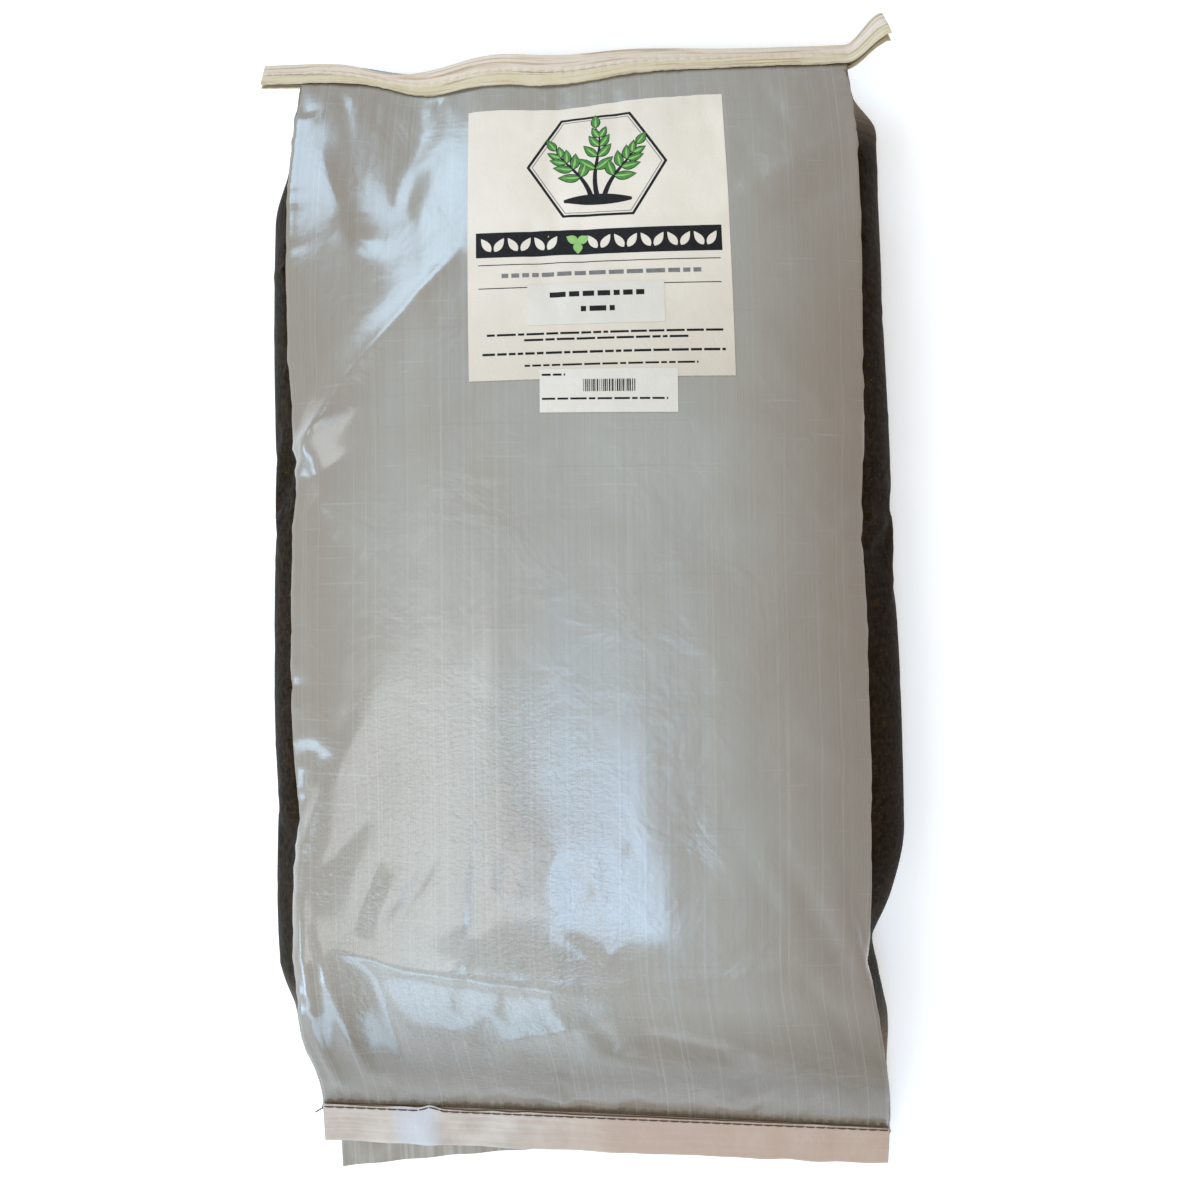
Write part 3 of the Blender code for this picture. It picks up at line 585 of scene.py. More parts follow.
for _ in range(3):
    lumps = doubled(lumps.swapaxes(0, 1), closed=False).swapaxes(0, 1)
lumps = lumps[: len(fine), :FINE_FRONT]
loose = 1.0 + 0.9 * bell(across_m + 0.09, 0.07) * bell(up_m - 0.17, 0.11)
small = small + lumps * loose * flattened
fine[:, :FINE_FRONT] += grid_normals(fine)[:, :FINE_FRONT] * small[..., None]

gusset_up = fine_along[:, None] * FILLED_LENGTH + np.zeros((1, FINE_GUSSET))
gusset_down = np.linspace(0.0, GUSSET_FALL, FINE_GUSSET)[None] + 0.0 * gusset_up
for first in (FINE_FRONT, 2 * FINE_FRONT + FINE_GUSSET):
    ridges = 0.0
    for from_crease in (gusset_down, GUSSET_FALL - gusset_down):
        ridges = ridges + gathers(gusset_up, from_crease, 40, (0.0, FILLED_LENGTH), 0.06, 0.0016)
    ridges = ridges - PLEAT_DEPTH * bell(gusset_down - GUSSET_FALL / 2, PLEAT_WIDTH)
    here = slice(first, first + FINE_GUSSET)
    fine[:, here] += grid_normals(fine)[:, here] * (ridges * on_body)[..., None]
fine[..., 2] = np.maximum(fine[..., 2], 0.0)
print("gathers up to", round(float(np.abs(small).max()) * 1000, 2), "mm")

# %% [markdown]
# Every surface here becomes a mesh in the same way: the points of its grid, quads between them,
# and a UV map in metres, so that a pattern has the same size wherever it lies.

# %% Grids into meshes
TAPE_LEFT_OVERHANG = 0.0275
SOLID_LIP_HALF = 0.0012
lip_end = mouth_lip(np.array([MOUTH_CORNER]), np.array([MOUTH_LIP]), np.array([SOLID_LIP_HALF]))[0]
shift = np.array(
    [
        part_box("closure_tape")[0][0] - LEFT_MOUTH_CORNER + TAPE_LEFT_OVERHANG,
        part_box("sack")[1][1] - lip_end[1],
        0.0,
    ]
)


def to_frame(points):
    """Moves points of the sack's own frame to the solid's frame."""
    return np.asarray(points) + shift


def mesh_piece(name, points, quads, materials, uv=None, slots=None, smooth_angle=None):
    """An object from points and faces, with its UV map in metres and its finish."""
    mesh = bpy.data.meshes.new(name)
    mesh.from_pydata(to_frame(points).reshape(-1, 3).tolist(), [], [list(q) for q in quads])
    for material in materials:
        mesh.materials.append(material)
    if uv is not None:
        layer = mesh.uv_layers.new(name="metres")
        layer.data.foreach_set("uv", np.asarray(uv, dtype=np.float32).ravel())
    if slots is not None:
        mesh.polygons.foreach_set("material_index", np.asarray(slots, dtype=np.int32))
    mesh.shade_smooth()
    if smooth_angle is not None:
        mesh.set_sharp_from_angle(angle=np.radians(smooth_angle))
    mesh.update()
    piece = bpy.data.objects.new(name, mesh)
    bpy.context.scene.collection.objects.link(piece)
    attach(piece, BODY)
    return piece


def sheet_quads(rows, columns):
    """Quads of an open grid."""
    row, here = np.arange(rows - 1)[:, None] * columns, np.arange(columns - 1)[None, :]
    quads = [row + here, row + here + 1, row + columns + here + 1, row + columns + here]
    return np.stack(quads, -1).reshape(-1, 4)


def slab_uv(quads, u, v):
    """The UV of each corner of a slab, whose under side has the same u and v as its top."""
    u, v = np.broadcast_arrays(u, v)
    corner = np.asarray(quads).ravel() % u.size
    return np.stack([u.ravel()[corner], v.ravel()[corner]], axis=-1)


def turn_uv(rows, columns, u, v):
    """The UV of each corner of a closed grid, whose last column runs on past its first."""
    row, here = np.meshgrid(np.arange(rows - 1), np.arange(columns), indexing="ij")
    left, right = u[here], u[here + 1]
    low, high = v[row], v[row + 1]
    corners = [(left, low), (right, low), (right, high), (left, high)]
    return np.stack([np.stack(c, axis=-1) for c in corners], axis=2).reshape(-1, 2)


def run_lengths(points):
    """How far along a line each of its points lies from its start."""
    return np.concatenate([[0.0], np.cumsum(np.linalg.norm(np.diff(points, axis=0), axis=-1))])


def point_values(piece, name, values):
    """A named value for each point of a piece, for its material to read."""
    values = np.ascontiguousarray(values, dtype=np.float32).ravel()
    piece.data.attributes.new(name, "FLOAT", "POINT").data.foreach_set("value", values)


print("frame shift", shift)

# %% [markdown]
# The film is seen in three ways. The front panel is printed silver grey, on the inside of a
# glossy laminate, over a weave of flat tapes that shows as streaks along the panel and ticks
# across it. The gussets and the back have no print, so the dark compost shows through them. Near
# the sewn ends there is no compost behind the clear film, and it looks like pale brown paper.
#
# All of that is colour and bump on one Principled shader, from a few patterns on the UV map.

# %% A small kit for materials
class Recipe:
    """A material under construction: each method adds a node and returns its output."""

    def __init__(self, name):
        self.material = bpy.data.materials.new(name)
        self.material.use_nodes = True
        self.tree = self.material.node_tree
        self.shader = self.tree.nodes["Principled BSDF"]
        self.uv = self.tree.nodes.new("ShaderNodeUVMap").outputs[0]
        self.place = self.tree.nodes.new("ShaderNodeTexCoord").outputs["Object"]

    def add(self, kind, **settings):
        node = self.tree.nodes.new(kind)
        for name, value in settings.items():
            setattr(node, name, value)
        return node

    def feed(self, socket, value):
        if isinstance(value, bpy.types.NodeSocket):
            self.tree.links.new(value, socket)
        elif isinstance(value, (tuple, list)) and len(value) == 3 and socket.type == "RGBA":
            socket.default_value = (*value, 1.0)
        else:
            socket.default_value = value

    def math(self, operation, first, second=0.0, third=0.0):
        node = self.add("ShaderNodeMath", operation=operation)
        for socket, value in zip(node.inputs, (first, second, third)):
            self.feed(socket, value)
        return node.outputs[0]

    def scaled(self, vector, scale):
        node = self.add("ShaderNodeMapping")
        self.feed(node.inputs["Vector"], vector)
        node.inputs["Scale"].default_value = scale
        return node.outputs[0]

    def part(self, vector, axis):
        node = self.add("ShaderNodeSeparateXYZ")
        self.feed(node.inputs[0], vector)
        return node.outputs[axis]

    def noise(self, vector, scale, detail=2.0, rough=0.5, distortion=0.0):
        node = self.add("ShaderNodeTexNoise")
        self.feed(node.inputs["Vector"], vector)
        self.feed(node.inputs["Scale"], scale)
        self.feed(node.inputs["Detail"], detail)
        self.feed(node.inputs["Roughness"], rough)
        self.feed(node.inputs["Distortion"], distortion)
        return node.outputs["Fac"]

    def stretched(self, across, along, detail, rough, distortion=0.0):
        """Noise on the UV map with a scale for each direction, so that it runs in streaks."""
        place = self.scaled(self.uv, (across, along, 1.0))
        return self.noise(place, 1.0, detail, rough, distortion)

    def cells(self, vector, scale):
        node = self.add("ShaderNodeTexVoronoi")
        self.feed(node.inputs["Vector"], vector)
        self.feed(node.inputs["Scale"], scale)
        return node.outputs["Distance"]

    def span(self, value, low, high, to_low=0.0, to_high=1.0):
        node = self.add("ShaderNodeMapRange")
        for name, entry in (
            ("Value", value),
            ("From Min", low),
            ("From Max", high),
            ("To Min", to_low),
            ("To Max", to_high),
        ):
            self.feed(node.inputs[name], entry)
        return node.outputs[0]

    def mix(self, share, first, second):
        node = self.add("ShaderNodeMix", data_type="RGBA")
        self.feed(node.inputs[0], share)
        self.feed(node.inputs[6], first)
        self.feed(node.inputs[7], second)
        return node.outputs[2]

    def tinted(self, under, pattern, low, high, share, colour):
        """Mixes a colour in as a pattern rises from low to high, up to a share."""
        return self.mix(self.span(pattern, low, high, 0.0, share), under, colour)

    def spot(self, middle, reach):
        """1 inside an ellipse on the UV map, falling softly to 0 at one and a half times its size."""
        total = 0.0
        for axis in (0, 1):
            away = self.math("SUBTRACT", self.part(self.uv, axis), middle[axis])
            share = self.math("DIVIDE", away, reach[axis])
            total = self.math("ADD", total, self.math("MULTIPLY", share, share))
        return self.span(total, 0.5, 2.2, 1.0, 0.0)

    def attribute(self, name):
        return self.add("ShaderNodeAttribute", attribute_name=name).outputs["Fac"]

    def bumps(self, *layers):
        """Bumps one over another, each given as a pattern and its height in metres."""
        normal = None
        for pattern, distance in layers:
            node = self.add("ShaderNodeBump")
            self.feed(node.inputs["Height"], pattern)
            node.inputs["Distance"].default_value = distance
            node.inputs["Strength"].default_value = 1.0
            if normal is not None:
                self.feed(node.inputs["Normal"], normal)
            normal = node.outputs[0]
        return normal

    def finish(self, colour, roughness, normal=None, **sockets):
        self.feed(self.shader.inputs["Base Color"], colour)
        self.feed(self.shader.inputs["Roughness"], roughness)
        if normal is not None:
            self.feed(self.shader.inputs["Normal"], normal)
        for name, value in sockets.items():
            self.shader.inputs[name.replace("_", " ")].default_value = value
        return self.material


print("recipe kit ready")

# %% [markdown]
# The silver panel is not one grey. Long streaks run with the tapes, because each tape took the
# print a little differently, and a few cross tapes are darker. Lamination also leaves soft
# ripples that break up its reflections, which is what makes film look like film. Shade is also
# painted into its colour: it is darker and browner towards both side creases, and much darker
# and browner at its foot by the hem.

# %% Silver film
def silver_film():
    recipe = Recipe("silver_film")
    streaks = recipe.stretched(330.0, 2.0, 3.0, 0.65)
    bands = recipe.stretched(45.0, 0.8, 2.0, 0.5)
    picks = recipe.stretched(6.0, 340.0, 2.0, 0.6)
    clouds = recipe.noise(recipe.uv, 6.0, 3.0, 0.55)
    grey = recipe.mix(recipe.span(clouds, 0.35, 0.65), (0.264, 0.227, 0.182), (0.308, 0.294, 0.254))
    grey = recipe.tinted(grey, streaks, 0.48, 0.72, 0.15, (0.40, 0.385, 0.355))
    grey = recipe.tinted(grey, bands, 0.45, 0.70, 0.22, (0.265, 0.268, 0.262))
    grey = recipe.tinted(grey, picks, 0.62, 0.75, 0.35, (0.225, 0.212, 0.195))
    across, along = recipe.part(recipe.uv, 0), recipe.part(recipe.uv, 1)
    # Painted shade: the colour turns darker and browner towards both side creases, where the panel
    # rounds over away from the light.
    from_middle = recipe.math("ABSOLUTE", recipe.math("SUBTRACT", across, 0.195))
    grey = recipe.tinted(grey, from_middle, 0.10, 0.17, 0.72, (0.204, 0.160, 0.118))
    # Painted shade: within a few centimetres of the hem, the foot of the panel is painted dark brown.
    grey = recipe.mix(recipe.span(along, 0.085, 0.160, 1.0, 0.0), grey, (0.098, 0.070, 0.038))
    lines = recipe.stretched(560.0, 1.6, 1.0, 0.4)
    ticks = recipe.stretched(16.0, 420.0, 1.0, 0.4)
    thin = recipe.math("MAXIMUM", recipe.span(lines, 0.60, 0.68), recipe.span(ticks, 0.68, 0.74))
    grey = recipe.mix(recipe.math("MULTIPLY", thin, 0.13), grey, (0.48, 0.47, 0.44))
    ripple = recipe.stretched(40.0, 14.0, 2.0, 0.5, 0.4)
    swell = recipe.noise(recipe.uv, 24.0, 3.0, 0.55, 0.6)
    crumpled = recipe.spot((0.115, 0.225), (0.090, 0.120))
    beaten = recipe.stretched(230.0, 430.0, 2.0, 0.6, 0.3)
    beaten = recipe.math("MULTIPLY", beaten, recipe.math("MAXIMUM", crumpled, 0.09))
    dents = recipe.span(recipe.stretched(120.0, 90.0, 1.0, 0.5, 0.5), 0.56, 0.72)
    dents = recipe.math("MULTIPLY", dents, recipe.math("MAXIMUM", crumpled, 0.12))
    normal = recipe.bumps(
        (streaks, 0.00004),
        (thin, 0.000015),
        (ripple, 0.0006),
        (swell, 0.0016),
        (beaten, 0.00085),
        (dents, 0.0003),
    )
    rough = recipe.span(streaks, 0.3, 0.7, 0.24, 0.34)
    return recipe.finish(grey, rough, normal, Coat_Weight=0.85, Coat_Roughness=0.15)


silver = silver_film()
print("made", silver.name)

# %% [markdown]
# Behind the clear film lies compost: nearly black crumbs with a few pale fibres and specks. The
# film itself adds a thin grey veil and its own gloss. An attribute called soil, from 1 where the
# sack is full to 0 at its sewn ends, says how much of it shows.

# %% Clear film over compost
def clear_film():
    recipe = Recipe("clear_film")
    crumbs = recipe.noise(recipe.place, 240.0, 4.0, 0.65)
    lumps = recipe.noise(recipe.place, 45.0, 3.0, 0.6)
    specks = recipe.cells(recipe.place, 190.0)
    soil = recipe.mix(recipe.span(crumbs, 0.38, 0.70), (0.003, 0.0016, 0.0006), (0.030, 0.0165, 0.0055))
    soil = recipe.tinted(soil, lumps, 0.50, 0.75, 0.5, (0.022, 0.0125, 0.0045))
    soil = recipe.mix(recipe.span(specks, 0.08, 0.12, 0.4, 0.0), soil, (0.15, 0.095, 0.040))
    veil = recipe.stretched(8.0, 400.0, 2.0, 0.6)
    soil = recipe.tinted(soil, veil, 0.55, 0.75, 0.14, (0.065, 0.043, 0.018))
    empty = recipe.mix(recipe.span(veil, 0.4, 0.6), (0.20, 0.155, 0.115), (0.27, 0.22, 0.17))
    colour = recipe.mix(recipe.attribute("soil"), empty, soil)
    crinkles = recipe.noise(recipe.uv, 75.0, 3.0, 0.6, 1.0)
    normal = recipe.bumps((veil, 0.00010), (lumps, 0.0015), (crinkles, 0.0008))
    gloss = {"Specular_IOR_Level": 0.02, "Coat_Weight": 0.035, "Coat_Roughness": 0.12}
    return recipe.finish(colour, 0.60, normal, **gloss)


clear = clear_film()
print("made", clear.name)

# %% [markdown]
# At the sewn lips all plies lie on each other with nothing between them. There the film is pale
# and milky, with the same tapes. The strip of the hem is its inner side, turned to the front.

# %% Pale plies
def pale_plies(name, low, high, warm=0.0):
    recipe = Recipe(name)
    clouds = recipe.noise(recipe.uv, 28.0, 3.0, 0.6)
    streaks = recipe.stretched(300.0, 8.0, 2.0, 0.6)
    colour = recipe.mix(recipe.span(clouds, 0.35, 0.65), low, high)
    colour = recipe.tinted(colour, streaks, 0.45, 0.7, 0.3, (0.62, 0.58, 0.52))
    rightward = recipe.part(recipe.uv, 1)
    colour = recipe.tinted(colour, rightward, -0.07, 0.02, warm, (0.43, 0.285, 0.205))
    if warm:
        # Painted reflection: a pale bluish patch near the strip's left end, where a cool highlight
        # falls.
        painted_reflection = recipe.spot((0.014, centre_line(0.0) - half_width(0.0) + 0.064), (0.040, 0.013))
        colour = recipe.mix(recipe.math("MULTIPLY", painted_reflection, 0.7), colour, (0.48, 0.49, 0.51))
    normal = recipe.bumps((streaks, 0.00004), (recipe.noise(recipe.uv, 60.0, 3.0, 0.6), 0.0010))
    return recipe.finish(colour, 0.42, normal, Coat_Weight=0.15, Coat_Roughness=0.25)


strip_film = pale_plies("hem_strip_film", (0.42, 0.33, 0.265), (0.53, 0.445, 0.37), 0.75)
tail_film = pale_plies("back_ply_film", (0.222, 0.183, 0.135), (0.285, 0.245, 0.192))
print("made", strip_film.name, tail_film.name)

# %% [markdown]
# The skin becomes one closed mesh. Its flat ends are closed by joining each front column to the
# back column behind it.

# %% The filled skin
EMPTY_AT_HEM, SOIL_REACH_AT_HEM = 0.050, 0.055
EMPTY_AT_MOUTH, SOIL_REACH_AT_MOUTH = 0.020, 0.045
fine_rows, fine_columns = fine.shape[:2]


def flat_cap(first):
    """Closes a flat end of the skin: quads from front to back, and one face at each gusset."""
    front = first + np.arange(FINE_FRONT)
    right = first + FINE_FRONT + np.arange(FINE_GUSSET)
    back = first + 2 * FINE_FRONT + FINE_GUSSET - 1 - np.arange(FINE_FRONT)
    left = first + 2 * FINE_FRONT + 2 * FINE_GUSSET - 1 - np.arange(FINE_GUSSET)
    quads = np.stack([front[1:-2], front[2:-1], back[2:-1], back[1:-2]], -1)
    at_left = [front[0], front[1], back[1], back[0], *left[::-1]]
    at_right = [front[-2], front[-1], *right, back[-1], back[-2]]
    return [*quads.tolist(), at_left, at_right]


middle_turn = fine[fine_rows // 2]
around_u = run_lengths(np.concatenate([middle_turn, middle_turn[:1]]))
along_v = run_lengths(fine[:, FINE_FRONT // 2])
caps = [face[::-1] for face in flat_cap(0)] + flat_cap((fine_rows - 1) * fine_columns)
all_faces = [*skin_faces(fine_rows, fine_columns).tolist(), *caps]
skin_uv = turn_uv(fine_rows, fine_columns, around_u, along_v)
skin_uv = np.concatenate([skin_uv, np.zeros((sum(map(len, caps)), 2))])
SILVER_SLOT, CLEAR_SLOT, STRIP_SLOT = 0, 1, 2
place = np.tile(np.arange(fine_columns), fine_rows - 1)
turn = np.repeat(np.arange(fine_rows - 1), fine_columns)
film_slot = np.where(place < FINE_FRONT - 1, SILVER_SLOT, CLEAR_SLOT)
film_slot = np.where(turn < 2 * HEM_ROWS - 2, STRIP_SLOT, film_slot)
film_slot = np.concatenate([film_slot, np.full(len(caps), STRIP_SLOT)])

skin = mesh_piece("sack_skin", fine, all_faces, [silver, clear, strip_film], skin_uv, film_slot)
from_hem_m = fine_along * FILLED_LENGTH
soil = smooth((from_hem_m - EMPTY_AT_HEM) / SOIL_REACH_AT_HEM)
soil = soil * smooth((FILLED_LENGTH - from_hem_m - EMPTY_AT_MOUTH) / SOIL_REACH_AT_MOUTH)
point_values(skin, "soil", np.broadcast_to(soil[:, None], fine.shape[:2]))
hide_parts("sack")
print("skin has", len(skin.data.polygons), "faces")

# %% [markdown]
# Paper that is stuck on the film has to follow it exactly. So the front panel gets a lookup: a
# distance aside from its middle and a distance down from the mouth, measured over the crown with
# a tape measure, give the point of the refined skin there and its normal. Everything that lies on
# the panel is placed through it.

# %% Places on the front panel
FIRST_ROW, ROWS_PER_LENGTH = 2 * (HEM_ROWS - 1), 2 * (BODY_ROWS + 1)
fine_normals = grid_normals(fine)
crown_share = np.linspace(1.0, 0.0, 400)
crown_line = front_base(np.zeros(400), crown_share)
crown_arc = run_lengths(crown_line)


def skin_at(aside, drop, proud):
    """The skin's point at aside and drop, blended from its four neighbours, then raised."""
    aside, drop, proud = np.broadcast_arrays(aside, drop, proud)
    along = np.interp(drop, crown_arc, crown_share)
    row = np.clip(FIRST_ROW + ROWS_PER_LENGTH * along, 0, fine_rows - 1.001)
    column = np.clip((aside / half_width(along) + 1.0) * (FINE_FRONT - 1) / 2, 0, FINE_FRONT - 1.001)
    r, c = row.astype(int), column.astype(int)
    fr, fc = (row - r)[..., None], (column - c)[..., None]

    def blended(field):
        low = field[r, c] * (1 - fc) + field[r, c + 1] * fc
        high = field[r + 1, c] * (1 - fc) + field[r + 1, c + 1] * fc
        return low * (1 - fr) + high * fr

    normal = blended(fine_normals)
    normal = normal / np.linalg.norm(normal, axis=-1, keepdims=True)
    return blended(fine) + normal * proud[..., None]


def slab(top, under):
    """Two like grids joined all round: points and outward quads of a closed sheet."""
    rows, columns = top.shape[:2]
    index = np.arange(rows * columns).reshape(rows, columns)
    rim = np.concatenate([index[0, :-1], index[:-1, -1], index[-1, :0:-1], index[:0:-1, 0]])
    after = np.roll(rim, -1)
    below = rows * columns
    over = sheet_quads(rows, columns)
    sides = np.stack([rim, rim + below, after + below, after], -1)
    quads = np.concatenate([over, over[:, ::-1] + below, sides])
    return np.concatenate([top.reshape(-1, 3), under.reshape(-1, 3)]), quads


print("the panel is", round(float(crown_arc[-1]), 4), "m long over its crown")

# %% [markdown]
# The label and the two stickers are sheets of paper, given as closed sheets 0.2 mm thick. Paper
# on film shows a faint tooth and soft waves from the glue, and the label is more worn lower down.

# %% Paper
def paper_finish(name, tone, shade):
    recipe = Recipe(name)
    fibres = recipe.stretched(900.0, 900.0, 3.0, 0.6)
    waves = recipe.noise(recipe.uv, 26.0, 2.0, 0.5)
    creases = recipe.noise(recipe.uv, 120.0, 3.0, 0.6, 1.5)
    colour = recipe.mix(recipe.span(waves, 0.3, 0.7), tone, shade)
    colour = recipe.tinted(colour, fibres, 0.45, 0.75, 0.25, shade)
    worn = recipe.span(recipe.part(recipe.uv, 1), -LABEL_LENGTH, -0.45 * LABEL_LENGTH, 0.75, 0.0)
    colour = recipe.mix(worn, colour, (0.55, 0.472, 0.370))
    normal = recipe.bumps((waves, 0.0012), (creases, 0.0003), (fibres, 0.00003))
    return recipe.finish(colour, 0.62, normal, Coat_Weight=0.08, Coat_Roughness=0.35)


label_paper = paper_finish("label_paper", (0.775, 0.685, 0.570), (0.70, 0.612, 0.505))
sticker_paper = paper_finish("sticker_paper", (0.68, 0.615, 0.530), (0.62, 0.560, 0.480))

STICKER_WIDTH, STICKER_LENGTH = 0.0889, 0.0286
PAPER, PAPER_LIFT, INK_LIFT, INK_SUNK = 0.00022, 0.00025, 0.00007, 0.00004


class Sheet:
    """A sheet of paper on the panel: its size, its place, its slant and its height over the film."""

    def __init__(self, width, length, aside, drop, lift, slant=LABEL_TURN):
        self.width, self.length, self.aside, self.drop = width, length, aside, drop
        self.lift, self.slant = lift, slant

    def bent(self, u, v, proud=0.0):
        """A place on the sheet, u to the right of its middle and v down from its top."""
        u, v = np.broadcast_arrays(u, v)
        middle = LABEL_DROP + LABEL_LENGTH / 2
        off_x, off_y = self.aside + u - LABEL_ASIDE, self.drop + v - middle
        aside = LABEL_ASIDE + off_x * np.cos(self.slant) + off_y * np.sin(self.slant)
        down = middle + off_y * np.cos(self.slant) - off_x * np.sin(self.slant)
        return skin_at(aside, down, self.lift(down) + PAPER + proud)

    def piece(self, name, material, step=0.0016):
        u = np.linspace(-0.5, 0.5, int(self.width / step) + 1)[None] * self.width
        v = np.linspace(1.0, 0.0, int(self.length / step) + 1)[:, None] * self.length
        points, quads = slab(self.bent(u, v), self.bent(u, v, -PAPER))
        return mesh_piece(name, points, quads, [material], slab_uv(quads, u, -v), smooth_angle=40.0)


def over_film(drop):
    return np.full(np.shape(drop), PAPER_LIFT)


def over_label(drop):
    """Rests on the label, then steps down to the film past its lower edge."""
    past = smooth((drop - LABEL_DROP - LABEL_LENGTH - 0.0008) / 0.003)
    return PAPER_LIFT + (PAPER + 0.0001) * (1.0 - past)


label_sheet = Sheet(LABEL_WIDTH, LABEL_LENGTH, LABEL_ASIDE, LABEL_DROP, over_film)
name_sheet = Sheet(STICKER_WIDTH, STICKER_LENGTH, LABEL_ASIDE - 0.003, LABEL_DROP + 0.140, over_label)
code_drop = LABEL_DROP + LABEL_LENGTH - 0.0060
code_sheet = Sheet(STICKER_WIDTH, STICKER_LENGTH, LABEL_ASIDE + 0.0055, code_drop, over_label, 0.0)
for sheet, name, node, material in (
    (label_sheet, "label_sheet", "label", label_paper),
    (name_sheet, "name_sticker_sheet", "name_sticker", sticker_paper),
    (code_sheet, "code_sticker_sheet", "code_sticker", sticker_paper),
):
    paper = sheet.piece(name, material)
    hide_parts(node)
    print(name, len(paper.data.polygons), "faces")

# %% [markdown]
# The print is made as thin raised shapes that are bent over the paper with it: a hexagon with a
# seedling in it, a dark band of leaves, rules, and plain strokes where a bag has its small print.
# Each shape is a small grid in the paper's own two directions, so it curves as the paper does.

# %% Shapes of the print
def bar(left, top, width, height, step=0.003):
    """A rectangle as a grid, from its upper left corner."""
    across = np.linspace(0.0, 1.0, max(2, int(width / step) + 1))[None]
    down = np.linspace(1.0, 0.0, max(2, int(height / step) + 1))[:, None]
    return np.stack(np.broadcast_arrays(left + width * across, top + height * down), -1)


def leaf(base_u, base_v, length, width, angle, bend=0.0, inset=0.0):
    """A leaf: half its width is a sine of its length, skewed to its base, along a bent rib."""
    share = np.linspace(0.0, 1.0, 13)[None]
    side = np.linspace(-1.0, 1.0, 5)[:, None]
    body = np.sin(np.pi * share**0.8) ** 0.9 * (width / 2 - inset)
    out = share * (length - 2 * inset) + inset
    off = side * np.maximum(body, 1e-5) + bend * out * out / length
    u = base_u + out * np.cos(angle) - off * np.sin(angle)
    v = base_v - out * np.sin(angle) - off * np.cos(angle)
    return np.stack([u, v], -1)


def stroke(points, widths):
    """A line of changing width through a few points, drawn on a smooth curve."""
    points, share = np.asarray(points), np.linspace(0.0, 1.0, 25)
    knots = np.linspace(0.0, 1.0, len(points))
    powers = np.polyfit(knots, points, len(points) - 1)
    middle = np.stack([np.polyval(powers[:, 0], share), np.polyval(powers[:, 1], share)], -1)
    run = np.gradient(middle, axis=0)
    side = np.stack([run[:, 1], -run[:, 0]], -1) / np.linalg.norm(run, axis=-1, keepdims=True)
    half = np.interp(share, knots, widths)[:, None] / 2
    return np.stack([middle - side * half, middle, middle + side * half])


def hexagon(centre_v, radius, width):
    """A frame of six straight sides, each cut into short steps."""
    corner = np.radians(60.0 * np.arange(7))
    ring = np.stack([np.cos(corner), -np.sin(corner)], -1)
    share = np.linspace(0.0, 1.0, 13)[:-1, None]
    edge = np.concatenate([ring[i] + (ring[i + 1] - ring[i]) * share for i in range(6)] + [ring[:1]])
    grid = edge[None] * np.linspace(radius - width, radius, 3)[:, None, None]
    return grid + np.array([0.0, centre_v])


def strokes_of_print(left, right, top, height, chosen, gap=0.0014):
    """A row of short plain strokes of changing length, as small print looks from a step away."""
    out, at = [], left
    while at < right:
        length = chosen.uniform(0.003, 0.013)
        out.append(bar(at, top, min(length, right - at), height))
        at += length + gap
    return out


def printed(name, sheet, shapes, material, lift=INK_LIFT):
    """All shapes of one colour as one thin closed mesh on a sheet."""
    points, quads, uv, count = [], [], [], 0
    for shape in shapes:
        u, v = shape[..., 0], shape[..., 1]
        along_row, along_column = shape[0, 1] - shape[0, 0], shape[1, 0] - shape[0, 0]
        if along_row[0] * along_column[1] - along_row[1] * along_column[0] > 0.0:
            u, v = u[::-1], v[::-1]
        these, faces = slab(sheet.bent(u, v, lift), sheet.bent(u, v, -INK_SUNK))
        points.append(these)
        quads.append(faces + count)
        uv.append(slab_uv(faces, u, -v))
        count += len(these)
    points, quads, uv = np.concatenate(points), np.concatenate(quads), np.concatenate(uv)
    piece = mesh_piece(name, points, quads, [material], uv, smooth_angle=40.0)
    print(name, len(quads), "faces")


def ink(name, low, high):
    recipe = Recipe(name)
    patches = recipe.noise(recipe.uv, 300.0, 3.0, 0.6)
    colour = recipe.mix(recipe.span(patches, 0.4, 0.7), low, high)
    normal = recipe.bumps((recipe.noise(recipe.uv, 26.0, 2.0, 0.5), 0.0012))
    return recipe.finish(colour, 0.6, normal, Specular_IOR_Level=0.15)


black_ink = ink("black_ink", (0.005, 0.004, 0.004), (0.011, 0.010, 0.010))
leaf_ink = ink("leaf_ink", (0.055, 0.190, 0.035), (0.10, 0.27, 0.06))
light_ink = ink("light_leaf_ink", (0.26, 0.47, 0.14), (0.33, 0.54, 0.19))
grey_ink = ink("grey_ink", (0.16, 0.155, 0.15), (0.22, 0.21, 0.20))

# %% [markdown]
# The seedling: three stems rise from a mound of soil, and each carries pairs of leaves. A leaf is
# printed three times, as a black outline, a green body and a lighter rib, each a little higher.

# %% The emblem, the band and the small print
EMBLEM_V, EMBLEM_RADIUS = 0.0505, 0.0470
GROUND_V = EMBLEM_V + 0.0270
# Places along a stem, aside and down from the emblem's middle
MIDDLE_STEM = ((0.000, 0.0270), (-0.001, 0.004), (0.002, -0.014), (0.000, -0.030))
SIDE_STEM = ((0.004, 0.0270), (0.011, 0.010), (0.020, -0.002), (0.027, -0.014))
black, green, light = [hexagon(EMBLEM_V, EMBLEM_RADIUS, 0.0021)], [], []
grey = [hexagon(EMBLEM_V, EMBLEM_RADIUS - 0.0034, 0.0006)]
mound = np.linspace(-1.0, 1.0, 25)[None]
mound_rows = np.linspace(1.0, 0.0, 4)[:, None]
mound_u = 0.0225 * mound * (1.0 + 0.0 * mound_rows)
mound_v = GROUND_V - 0.0035 * (1.0 - mound**2) + (0.0085 * (1.0 - 0.75 * mound**2)) * mound_rows
black.append(np.stack([mound_u, mound_v], -1))


